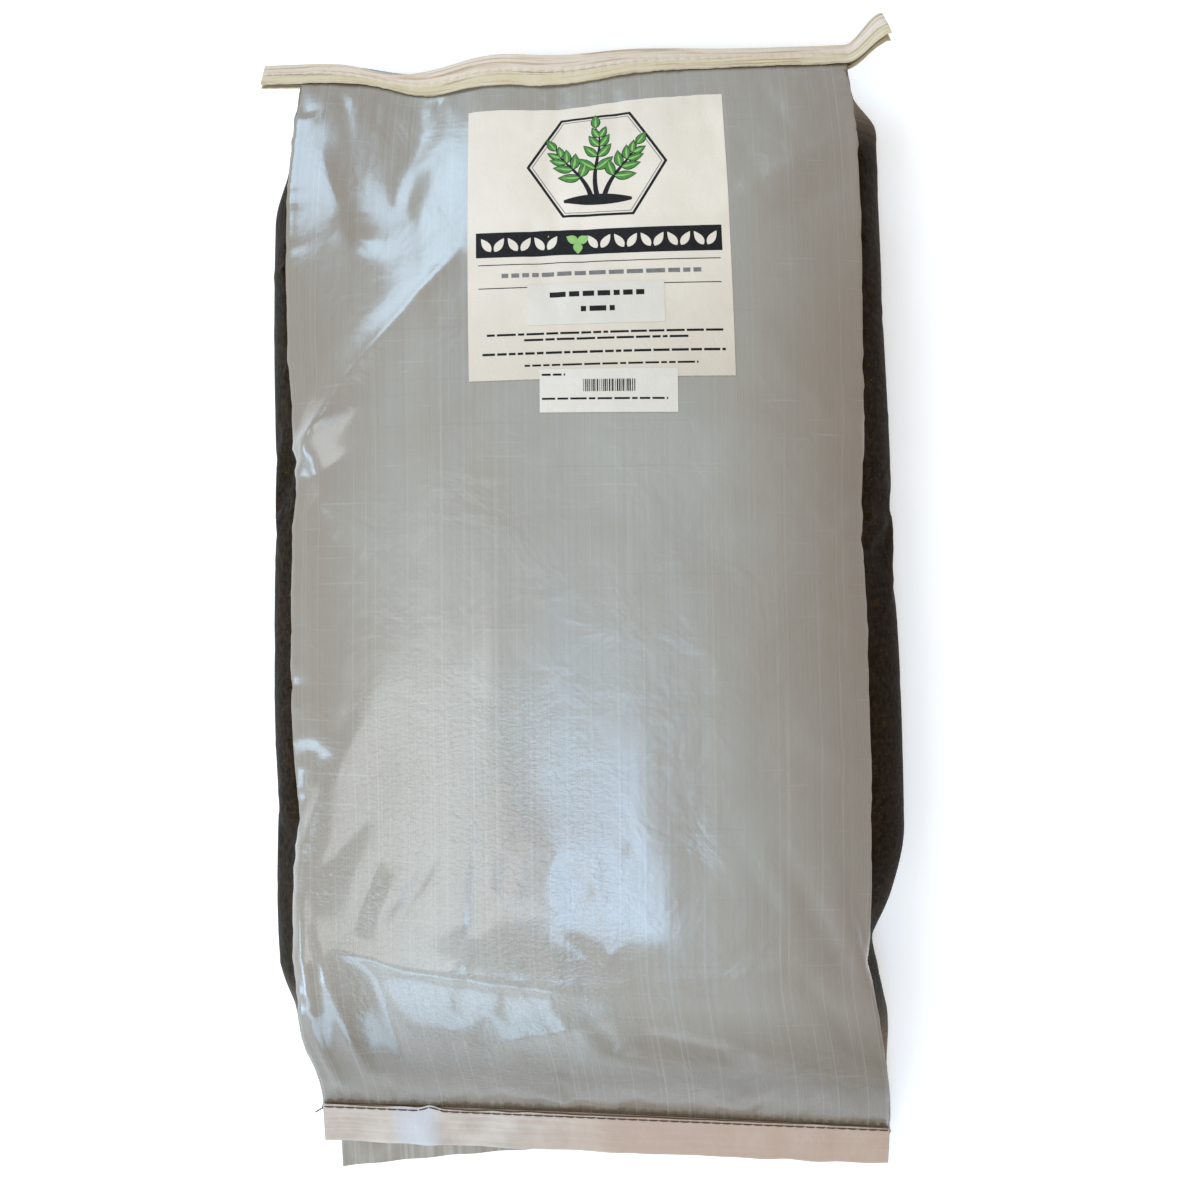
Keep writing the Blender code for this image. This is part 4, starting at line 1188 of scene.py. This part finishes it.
def printed_leaf(u, v, size, angle, bend, rib):
    """A leaf in black, then in green a little inside it, then its light rib."""
    length, width = size
    black.append(leaf(u, v, length, width, angle, bend, 0.0))
    green.append(leaf(u, v, length, width, angle, bend, 0.0006))
    light.append(leaf(u, v, *rib, angle, bend, 0.0004))


for steps, mirror, heading in ((MIDDLE_STEM, 1, 90), (SIDE_STEM, -1, 125), (SIDE_STEM, 1, 55)):
    route = [(mirror * aside, EMBLEM_V + down) for aside, down in steps]
    black.append(stroke(route, [0.0036, 0.0024, 0.0016, 0.0008]))
    powers = np.polyfit(np.linspace(0.0, 1.0, 4), np.asarray(route), 3)
    for order, share in enumerate((0.34, 0.52, 0.68, 0.83)):
        u, v = np.polyval(powers[:, 0], share), np.polyval(powers[:, 1], share)
        for side in (-1, 1):
            angle = np.radians(heading + side * (62 - 8 * order))
            length, width = 0.0150 - 0.0016 * order, 0.0074 - 0.0006 * order
            printed_leaf(u, v, (length, width), angle, -side * 0.18, (length * 0.82, 0.0022))
    printed_leaf(*route[-1], (0.0115, 0.0066), np.radians(heading), 0.0, (0.0092, 0.0020))

BAND_V, BAND_HEIGHT, BAND_HALF = 0.1010, 0.0185, 0.0805
black.append(bar(-BAND_HALF, BAND_V, 2 * BAND_HALF, BAND_HEIGHT))
pale, middle_v = [], BAND_V + BAND_HEIGHT / 2
BAND_LEAVES, BAND_LEAF, TREFOIL_U = 18, 0.0116, -0.014
for index in range(BAND_LEAVES):
    u = -BAND_HALF + 0.0065 + index * (2 * BAND_HALF - 0.013) / (BAND_LEAVES - 1)
    if abs(u - TREFOIL_U) < 0.009:
        continue
    tilt = np.radians(58.0 if index % 2 else 122.0)
    start_u, start_v = u - BAND_LEAF / 2 * np.cos(tilt), middle_v + BAND_LEAF / 2 * np.sin(tilt)
    pale.append(leaf(start_u, start_v, BAND_LEAF, 0.0052, tilt))
for angle in np.radians((30.0, 150.0, 270.0)):
    light.append(leaf(TREFOIL_U, middle_v, 0.0085, 0.0062, angle))
    green.append(leaf(TREFOIL_U, middle_v, 0.0085, 0.0040, angle))

black += [bar(-0.0790, 0.1247, 0.158, 0.0006), bar(-0.0790, 0.1415, 0.158, 0.0006)]
grey += strokes_of_print(-0.064, 0.066, 0.1315, 0.0030, chance, 0.0020)
for top, left, right, height in (
    (0.1738, -0.074, 0.079, 0.0015),
    (0.1778, -0.050, 0.056, 0.0015),
    (0.1868, -0.077, 0.080, 0.0016),
    (0.1952, -0.050, 0.062, 0.0013),
):
    black += strokes_of_print(left, right, top, height, chance)
for tone, shapes, material, layer in (
    ("black", black, black_ink, 1),
    ("grey", grey, grey_ink, 1),
    ("green", green, leaf_ink, 2),
    ("light", light, light_ink, 3),
    ("pale", pale, label_paper, 2),
):
    printed("label_print_" + tone, label_sheet, shapes, material, layer * INK_LIFT)

name_print = strokes_of_print(-0.030, 0.032, 0.0060, 0.0036, chance, 0.0022)
name_print += strokes_of_print(-0.010, 0.012, 0.0165, 0.0036, chance, 0.0022)
printed("name_sticker_print", name_sheet, name_print, black_ink)
code_print, at = [], -0.0165
while at < 0.0165:
    thick = chance.choice([0.0003, 0.0006, 0.0009])
    code_print.append(bar(at, 0.0070, thick, 0.0080))
    at += thick + chance.choice([0.0003, 0.0005, 0.0008])
code_print += strokes_of_print(-0.043, -0.028, 0.0032, 0.0014, chance)
code_print += strokes_of_print(-0.043, 0.038, 0.0190, 0.0013, chance)
printed("code_sticker_print", code_sheet, code_print, black_ink)

# %% [markdown]
# At the bottom the tube is folded up to the front, so that the strip there is its inner side. The
# strip is a sheet in the shape of a flat hook: down the front, round the fold, and a little way
# up behind. It is longer than the stitching holds flat, so it waves.

# %% The hem strip and the back ply
def section_sweep(route, section):
    """Points at each station of a route by each corner of a section."""
    return np.stack([route(drop, proud) for drop, proud in section], axis=1)


def strung(x, heights):
    """Heights at even places along x, joined by straight steps."""
    return np.interp(x, np.linspace(x[0], x[-1], len(heights)), heights)


def averaged(line, over=9):
    """Each value of a line replaced by the mean of its neighbours."""
    return np.convolve(np.pad(line, over // 2, "edge"), np.ones(over) / over, "valid")


def swept_piece(name, rings, material, lengths, around, angle=50.0):
    """A closed piece from rings, with flat ends and its UV map in metres."""
    turns, count = rings.shape[:2]
    quads = skin_faces(turns, count)
    uv = turn_uv(turns, count, np.append(around, 2 * around[-1] - around[-2]), lengths)
    last = (turns - 1) * count
    ends = [list(range(count))[::-1], [last + i for i in range(count)]]
    uv = np.concatenate([uv, np.zeros((2 * count, 2))])
    return mesh_piece(name, rings, [*quads.tolist(), *ends], [material], uv, smooth_angle=angle)


def outward(piece):
    """Turns all faces of a closed piece outwards."""
    shell = bmesh.new()
    shell.from_mesh(piece.data)
    bmesh.ops.recalc_face_normals(shell, faces=shell.faces)
    shell.to_mesh(piece.data)
    shell.free()
    return piece


def rounded_hook(length, proud, under, back_length, thickness, turns=7):
    """A hook's section: outer skin down the front, half a turn, up the back, then the inner skin."""
    radius, middle = (proud - under) / 2, (proud + under) / 2
    angles, bend = np.linspace(np.pi / 2, -np.pi / 2, turns), length - radius
    small = radius - thickness
    arc = [(bend + radius * np.cos(a), middle + radius * np.sin(a)) for a in angles]
    inner = [(bend + small * np.cos(a), middle + small * np.sin(a)) for a in angles[::-1]]
    front = [(q, proud) for q in np.linspace(0.0, bend, 9)[:-1]]
    back = [(q, under) for q in np.linspace(bend, back_length, 4)[1:]]
    inner_back = [(q, under + thickness) for q in np.linspace(back_length, bend, 4)[:-1]]
    inner_front = [(q, proud - thickness) for q in np.linspace(bend, 0.0, 9)[1:]]
    return np.array([*front, *arc, *back, *inner_back, *inner, *inner_front])


HEM_PLY_TOP = 0.0026
FOLD_BUMP, FOLD_BUMP_AT, FOLD_BUMP_REACH = 0.0030, -0.121, 0.006
HEM_WAVE, HEM_FOLD_WAVE, HEM_TOP_WAVE = 0.00055, 0.0006, 0.00035
PLY_START, PLY_LENGTH, PLY_HANG, PLY_FROM = 0.011, 0.152, 0.022, 0.016
PLY_OVER, PLY_UNDER = -0.0004, -0.0009
hem_ends = centre_line(0.0) + half_width(0.0) * np.array([-1.0, 1.0])
hem_x = np.linspace(hem_ends[0], hem_ends[1], 260)
hem_noise = averaged(strung(hem_x, chance.normal(0.0, 1.0, 34)))
top_noise = averaged(strung(hem_x, chance.normal(0.0, 1.0, 46)))
hook = rounded_hook(HEM_STRIP + 0.0008, HEM_PLY_TOP, -0.0012, 0.0140, 0.0006)
fold_bump = FOLD_BUMP * bell(hem_x - FOLD_BUMP_AT, FOLD_BUMP_REACH)


def hem_place(drop, proud):
    """The hem's lip with its own waves, and its upper edge with a bump where it bulges up."""
    share = np.clip(drop / HEM_STRIP, 0.0, 1.0)
    waved = proud + HEM_WAVE * hem_noise * np.sin(np.pi * share)
    raised = (fold_bump + HEM_TOP_WAVE * top_noise) * (1.0 - share) ** 2
    return hem_lip(hem_x, drop + HEM_FOLD_WAVE * hem_noise * share - raised, waved)


strip = section_sweep(hem_place, hook)
hem_strip = outward(swept_piece("hem_strip", strip, strip_film, hem_x, run_lengths(hook)))
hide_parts("sack")

ply_share = np.linspace(0.0, 1.0, 90)
ply_x = (hem_ends[0] + PLY_START + PLY_LENGTH * ply_share)[:, None]
ply_edge = (HEM_STRIP + PLY_HANG * (1.0 - ply_share) ** 1.2)[:, None]
ply_down = np.linspace(0.0, 1.0, 14)[None]
ply_drop = PLY_FROM + (ply_edge - PLY_FROM) * ply_down
ply_wave = 0.0005 * np.sin(ply_x * 190.0) * ply_down**2
ply_faces = [hem_lip(ply_x, ply_drop, proud + ply_wave) for proud in (PLY_OVER, PLY_UNDER)]
ply_points, ply_quads = slab(*ply_faces)
ply_uv = slab_uv(ply_quads, ply_x, ply_drop)
back_ply = mesh_piece("back_ply_tail", ply_points, ply_quads, [tail_film], ply_uv, smooth_angle=50.0)
outward(back_ply)
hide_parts("sack")
print("hem strip", len(hem_strip.data.polygons), "faces, back ply", len(back_ply.data.polygons))

# %% [markdown]
# Crepe paper is creased so that it can follow a curve, and fine ridges run along this strip.
# The chain stitch draws it in along one line, and between the line and the edges it stays puffed.
# The strip is wider than the sack's mouth on both sides. The left end lies flat. The right end
# swings up and turns, so that its edge is seen.

# %% The closure tape
def tape_finish():
    recipe = Recipe("crepe_paper")
    ridges = recipe.stretched(430.0, 13.0, 3.0, 0.6, 0.4)
    blotches = recipe.noise(recipe.uv, 45.0, 3.0, 0.6)
    fibres = recipe.stretched(900.0, 900.0, 2.0, 0.7)
    low = recipe.attribute("below_stitch")
    cream = recipe.mix(low, (0.700, 0.570, 0.455), (0.630, 0.525, 0.335))
    cream = recipe.tinted(cream, blotches, 0.35, 0.70, 0.5, (0.730, 0.635, 0.510))
    # Painted shade: dark brown lines in the valleys of the fine ridges, following the same pattern that
    # bumps them.
    cream = recipe.mix(recipe.span(ridges, 0.36, 0.47, 0.75, 0.0), cream, (0.380, 0.265, 0.150))
    cream = recipe.tinted(cream, fibres, 0.55, 0.8, 0.25, (0.83, 0.77, 0.67))
    normal = recipe.bumps((ridges, 0.0009), (blotches, 0.0008), (fibres, 0.00012))
    return recipe.finish(cream, 0.86, normal)


TAPE_TOP, TAPE_INSIDE, STITCH_PITCH = 0.0020, 0.0011, 0.0072
WAIST_AT, WAIST_REACH, WAIST_DEPTH = -0.148, 0.020, 0.0045
PUFF, PUFF_REACH, DRAWN_IN, DRAWN_REACH = 0.0009, 0.016, 0.00045, 0.0030
TAPE_RIDGE, EDGE_CURL, EDGE_WEAR, EDGE_BAND = 0.00004, 0.0008, 0.0002, 0.004
END_REACH, OFF_BAG_SHARE, TAIL_OPENING = 0.012, 0.35, 0.0016
crepe = tape_finish()
tape_x = np.linspace(LEFT_MOUTH_CORNER - TAPE_LEFT_OVERHANG, MOUTH_CORNER + TAIL_LENGTH, 600)
tape_drop = np.linspace(0.0012, MOUTH_LIP, 35)
turns = np.radians(np.linspace(90.0, -90.0, 9))[1:-1]


def tape_ring(proud):
    """Drop and proud round the fold: down the front, round the edge, and up the back."""
    arc = [(MOUTH_LIP + proud * np.cos(a), proud * np.sin(a)) for a in turns]
    down = [(q, proud) for q in tape_drop]
    up = [(q, -proud) for q in tape_drop[::-1]]
    return np.array([*down, *arc, *up])


outer = tape_ring(TAPE_TOP)
tape_section = np.concatenate([outer, tape_ring(TAPE_INSIDE)[::-1]])
waves_along = 0.5 + 0.5 * np.cos(2 * np.pi * tape_x / STITCH_PITCH)
slow = strung(tape_x, chance.uniform(0.4, 1.3, 40))
quick = strung(tape_x, chance.normal(0.0, 1.0, 300))
quick_back = strung(tape_x, chance.normal(0.0, 1.0, 300))
edge_noise = strung(tape_x, chance.normal(0.0, 1.0, 160))

# Drop, middle, length and slant of each fold are drawn between these
FOLD_SPANS = ((0.003, 0.024), (-0.22, 0.18), (0.03, 0.09), (-0.05, 0.05))
FOLD_COUNT, FOLD_HEIGHT, FOLD_WIDTH = 34, 0.00075, 0.0009
tape_folds = [[chance.uniform(*span) for span in FOLD_SPANS] for _ in range(FOLD_COUNT)]


def lengthwise_folds(drop):
    """Thin folds that run along the strip: each has a middle, a length and a slant."""
    total = np.zeros_like(tape_x)
    for place, middle, length, slant in tape_folds:
        line = drop - place - slant * (tape_x - middle)
        total = total + FOLD_HEIGHT * bell(line, FOLD_WIDTH) * bell(tape_x - middle, length)
    return total


def tape_place(drop, proud):
    """The lip's frame, puffed away from the stitch line and folded along the strip."""
    side = np.sign(proud) if abs(proud) > 1e-6 else 0.0
    from_stitch = drop - STITCH_DROP
    drawn = bell(from_stitch, DRAWN_REACH)
    puff = PUFF * slow * (1.0 - drawn) * np.clip(1.0 - abs(from_stitch) / PUFF_REACH, 0.2, 1.0)
    pulled = DRAWN_IN * drawn * (1.0 - waves_along)
    fine_ridge = TAPE_RIDGE * (quick if side >= 0 else quick_back) + lengthwise_folds(drop)
    fine_ridge = fine_ridge + EDGE_CURL * slow * smooth((EDGE_BAND - drop) / 0.003)
    on_bag = smooth((tape_x - LEFT_MOUTH_CORNER) / 0.010)
    from_end = np.minimum(tape_x - tape_x[0], tape_x[-1] - tape_x)
    fine_ridge = fine_ridge * smooth(from_end / END_REACH)
    grown = (puff + pulled + fine_ridge) * (OFF_BAG_SHARE + (1.0 - OFF_BAG_SHARE) * on_bag)
    opened = TAIL_OPENING * smooth((tape_x - MOUTH_CORNER - 0.012) / 0.018)
    opened = opened * np.clip(1.2 - drop / MOUTH_LIP, 0.0, 1.0)
    waist = WAIST_DEPTH * bell(tape_x - WAIST_AT, WAIST_REACH)
    share = from_stitch / STITCH_DROP
    held_drop = drop - share * waist - np.where(drop < EDGE_BAND, EDGE_WEAR * edge_noise, 0.0)
    lifted = proud + side * (grown + opened)
    return mouth_lip(tape_x, held_drop + 0.0 * tape_x, lifted)


tape_points = section_sweep(tape_place, tape_section)
tape_steps = run_lengths(tape_section)
tape = outward(swept_piece("tape_over_mouth", tape_points, crepe, tape_x, tape_steps, 60.0))
below = smooth((STITCH_DROP - tape_section[:, 0]) / 0.003)
point_values(tape, "below_stitch", np.broadcast_to(below[None], tape_points.shape[:2]))
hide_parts("closure_tape")

# %% [markdown]
# A chain stitch has a needle thread, which shows as one dash for each stitch, and a looper thread
# behind, whose loops run through each other. A thread is a round tube along its route, with a
# twist of two plies painted on as bump.

# %% Threads
def thread_finish(name, low, high):
    recipe = Recipe(name)
    u, v = recipe.part(recipe.uv, 0), recipe.part(recipe.uv, 1)
    round_it, along_it = recipe.math("MULTIPLY", u, 2200.0), recipe.math("MULTIPLY", v, 5200.0)
    twist = recipe.math("SINE", recipe.math("ADD", along_it, round_it))
    # Painted shade and highlight: the thread is darker in the grooves of its twist and lighter on its
    # crowns, following the same wave as its bump.
    colour = recipe.mix(recipe.span(twist, -1.0, 1.0), low, high)
    return recipe.finish(colour, 0.75, recipe.bumps((twist, 0.0001)))


def tube(name, route, radius, material, node, sides=8):
    """A round tube: a circle carried along a route, square to it, with its ends closed."""
    run = np.gradient(route, axis=0)
    run = run / np.linalg.norm(run, axis=-1, keepdims=True)
    first = np.cross(run, np.array([0.0, 0.3, 1.0]))
    first = first / np.linalg.norm(first, axis=-1, keepdims=True)
    second = np.cross(run, first)
    angle = 2 * np.pi * np.arange(sides) / sides
    cosine, sine = np.cos(angle)[:, None], np.sin(angle)[:, None]
    rings = route[:, None] + radius * (first[:, None] * cosine + second[:, None] * sine)
    lengths = run_lengths(route)
    piece = outward(swept_piece(name, rings, material, lengths, radius * angle))
    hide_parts(node)
    print(name, round(float(lengths[-1]), 3), "m of thread")
    return piece


pale_thread = thread_finish("pale_thread", (0.62, 0.54, 0.40), (0.80, 0.73, 0.60))
dark_thread = thread_finish("dark_thread", (0.050, 0.030, 0.020), (0.120, 0.080, 0.055))
STITCH_RISE, MOUTH_THREAD, HEM_NEEDLE_THREAD, HEM_LOOPER_THREAD = 0.0011, 0.00045, 0.00048, 0.00045


def dashes(x, roundness):
    """The needle thread's rise over each stitch: a power of a sine's half wave."""
    return STITCH_RISE * np.sin(np.pi * ((x / STITCH_PITCH) % 1.0)) ** roundness


def loops(x, aside, rise):
    """The looper thread's swing to both sides of its line, and its rise twice a stitch."""
    turned = 2 * np.pi * x / STITCH_PITCH
    return aside * np.sin(turned), rise * np.cos(2 * turned)


stitch_x = np.linspace(tape_x[0] + 0.003, MOUTH_CORNER + 0.020, 1900)
middle_drop = np.full(len(stitch_x), STITCH_DROP)
needle_route = mouth_lip(stitch_x, middle_drop, TAPE_TOP + dashes(stitch_x, 0.5) - 0.0001)
tube("mouth_needle_stitches", needle_route, MOUTH_THREAD, pale_thread, "mouth_needle_thread")
swing, rise = loops(stitch_x, 0.0011, 0.0007)
looper_route = mouth_lip(stitch_x, STITCH_DROP + swing, -TAPE_TOP - 0.0014 + rise)
tube("mouth_looper_loops", looper_route, MOUTH_THREAD, pale_thread, "mouth_looper_thread")

hem_stitch_x = np.linspace(hem_ends[0] + 0.001, hem_ends[1] - 0.001, 1500)
hem_drop = 0.0016 - 0.0026 * bell(hem_stitch_x - FOLD_BUMP_AT, FOLD_BUMP_REACH)
hem_route = hem_lip(hem_stitch_x, hem_drop, HEM_PLY_TOP - 0.0006 + dashes(hem_stitch_x, 0.6))
tail_share = np.linspace(1.0, 0.0, 30)[:-1]
tail_steps = (-0.0065 * tail_share**1.2, -0.004 * tail_share, -0.0015 * np.sin(3.0 * tail_share))
hem_route = np.concatenate([hem_route[:1] + np.stack(tail_steps, -1), hem_route])
tube("hem_needle_stitches", hem_route, HEM_NEEDLE_THREAD, dark_thread, "hem_needle_thread")
swing, rise = loops(hem_stitch_x, 0.0009, 0.0005)
hem_loop_route = hem_lip(hem_stitch_x, 0.0022 + swing, -0.0019 + rise)
tube("hem_looper_loops", hem_loop_route, HEM_LOOPER_THREAD, dark_thread, "hem_looper_thread")

# %% [markdown]
# The floor is pale and matt. It is white to the camera, and duller to the light that would bounce
# from it onto the bag. The world does the same, so that the gloss of the film shows a white
# studio. The floor also glows a little, more so far from the bag, where the lamps don't reach.
#
# Five soft lamps light the bag, most of them as cool as daylight. One hangs over the lower half,
# two stand low past the hem and at the left and draw the long highlights, one fills in from the
# upper left, and one lights the mouth's end from the side.

# %% Floor, lights and camera
def seen_directly(tree):
    """1 for camera, glossy and transmission rays, and 0 for diffuse light."""
    path = tree.nodes.new("ShaderNodeLightPath")
    total = path.outputs["Is Camera Ray"]
    for kind in ("Is Glossy Ray", "Is Transmission Ray"):
        node = tree.nodes.new("ShaderNodeMath")
        node.operation, node.use_clamp = "ADD", True
        tree.links.new(total, node.inputs[0])
        tree.links.new(path.outputs[kind], node.inputs[1])
        total = node.outputs[0]
    return total


def floor_finish():
    recipe = Recipe("pale_floor")
    grain = recipe.span(recipe.noise(recipe.place, 30.0, 3.0), 0.3, 0.7)
    tone = recipe.mix(grain, (0.955, 0.955, 0.955), (0.975, 0.975, 0.975))
    directly = seen_directly(recipe.tree)
    tone = recipe.mix(directly, (0.45, 0.44, 0.42), tone)
    x, y = recipe.part(recipe.place, 0), recipe.part(recipe.place, 1)
    squared = recipe.math("ADD", recipe.math("MULTIPLY", x, x), recipe.math("MULTIPLY", y, y))
    glow = recipe.math("MULTIPLY", directly, recipe.span(squared, 1.0, 6.0, 0.30, 0.80))
    recipe.feed(recipe.shader.inputs["Emission Strength"], glow)
    recipe.shader.inputs["Emission Color"].default_value = (1.0, 0.97, 0.92, 1.0)
    return recipe.finish(tone, 0.9)


FLOOR_HALF, FLOOR_Z = 4.0, -0.0002
corner_signs = ((-1, -1), (1, -1), (1, 1), (-1, 1))
floor_corners = [(x * FLOOR_HALF, y * FLOOR_HALF, FLOOR_Z) for x, y in corner_signs]
floor_mesh = bpy.data.meshes.new("floor")
floor_mesh.from_pydata(floor_corners, [], [(0, 1, 2, 3)])
floor_mesh.materials.append(floor_finish())
floor = bpy.data.objects.new("floor", floor_mesh)
bpy.context.scene.collection.objects.link(floor)

world = bpy.data.worlds.new("studio")
bpy.context.scene.world = world
world.use_nodes = True
sky = world.node_tree.nodes["Background"]
sky_mix = world.node_tree.nodes.new("ShaderNodeMix")
sky_mix.data_type = "RGBA"
sky_mix.inputs[6].default_value = (0.50, 0.38, 0.24, 1.0)
sky_mix.inputs[7].default_value = (0.98, 0.98, 0.98, 1.0)
world.node_tree.links.new(seen_directly(world.node_tree), sky_mix.inputs[0])
world.node_tree.links.new(sky_mix.outputs[2], sky.inputs["Color"])


def soft_light(name, place, aim, size, power, colour):
    """An area light that faces a point."""
    lamp = bpy.data.lights.new(name, "AREA")
    lamp.shape, lamp.size, lamp.size_y = "RECTANGLE", *size
    lamp.energy, lamp.color = power, colour
    light_object = bpy.data.objects.new(name, lamp)
    light_object.location = place
    light_object.rotation_euler = (Vector(aim) - Vector(place)).to_track_quat("-Z", "Y").to_euler()
    bpy.context.scene.collection.objects.link(light_object)


for lamp in (
    ("window", (0.08, -0.70, 1.70), (0.08, -0.70, 0.0), (0.56, 1.20), 17.0, (0.42, 0.68, 1.0)),
    ("low window", (-1.15, -1.95, 0.54), (0.0, -0.3, 0.10), (2.10, 0.58), 19.5, (0.46, 0.72, 1.0)),
    ("left pane", (-0.86, -0.55, 1.70), (0.0, -0.3, 0.05), (1.15, 1.10), 12.5, (0.88, 0.95, 1.0)),
    ("left window", (-2.20, -1.10, 0.75), (0.0, -0.25, 0.08), (1.40, 0.60), 20.0, (0.50, 0.74, 1.0)),
    ("side", (-1.1, 2.10, 1.50), (0.0, 0.2, 0.05), (1.7, 1.3), 48.0, (0.50, 0.75, 1.0)),
):
    soft_light(*lamp)

camera = bpy.data.cameras.new("camera")
camera.lens = 55.13
camera.clip_start = 0.05
camera_object = bpy.data.objects.new("camera", camera)
camera_object.location = (0.01176, -0.05317, 1.30134)
camera_object.rotation_euler = (0.03832, -0.00008, -0.00950)
bpy.context.scene.collection.objects.link(camera_object)
bpy.context.scene.camera = camera_object
bpy.context.scene.view_settings.view_transform = "Standard"
print("camera at", tuple(camera_object.location))
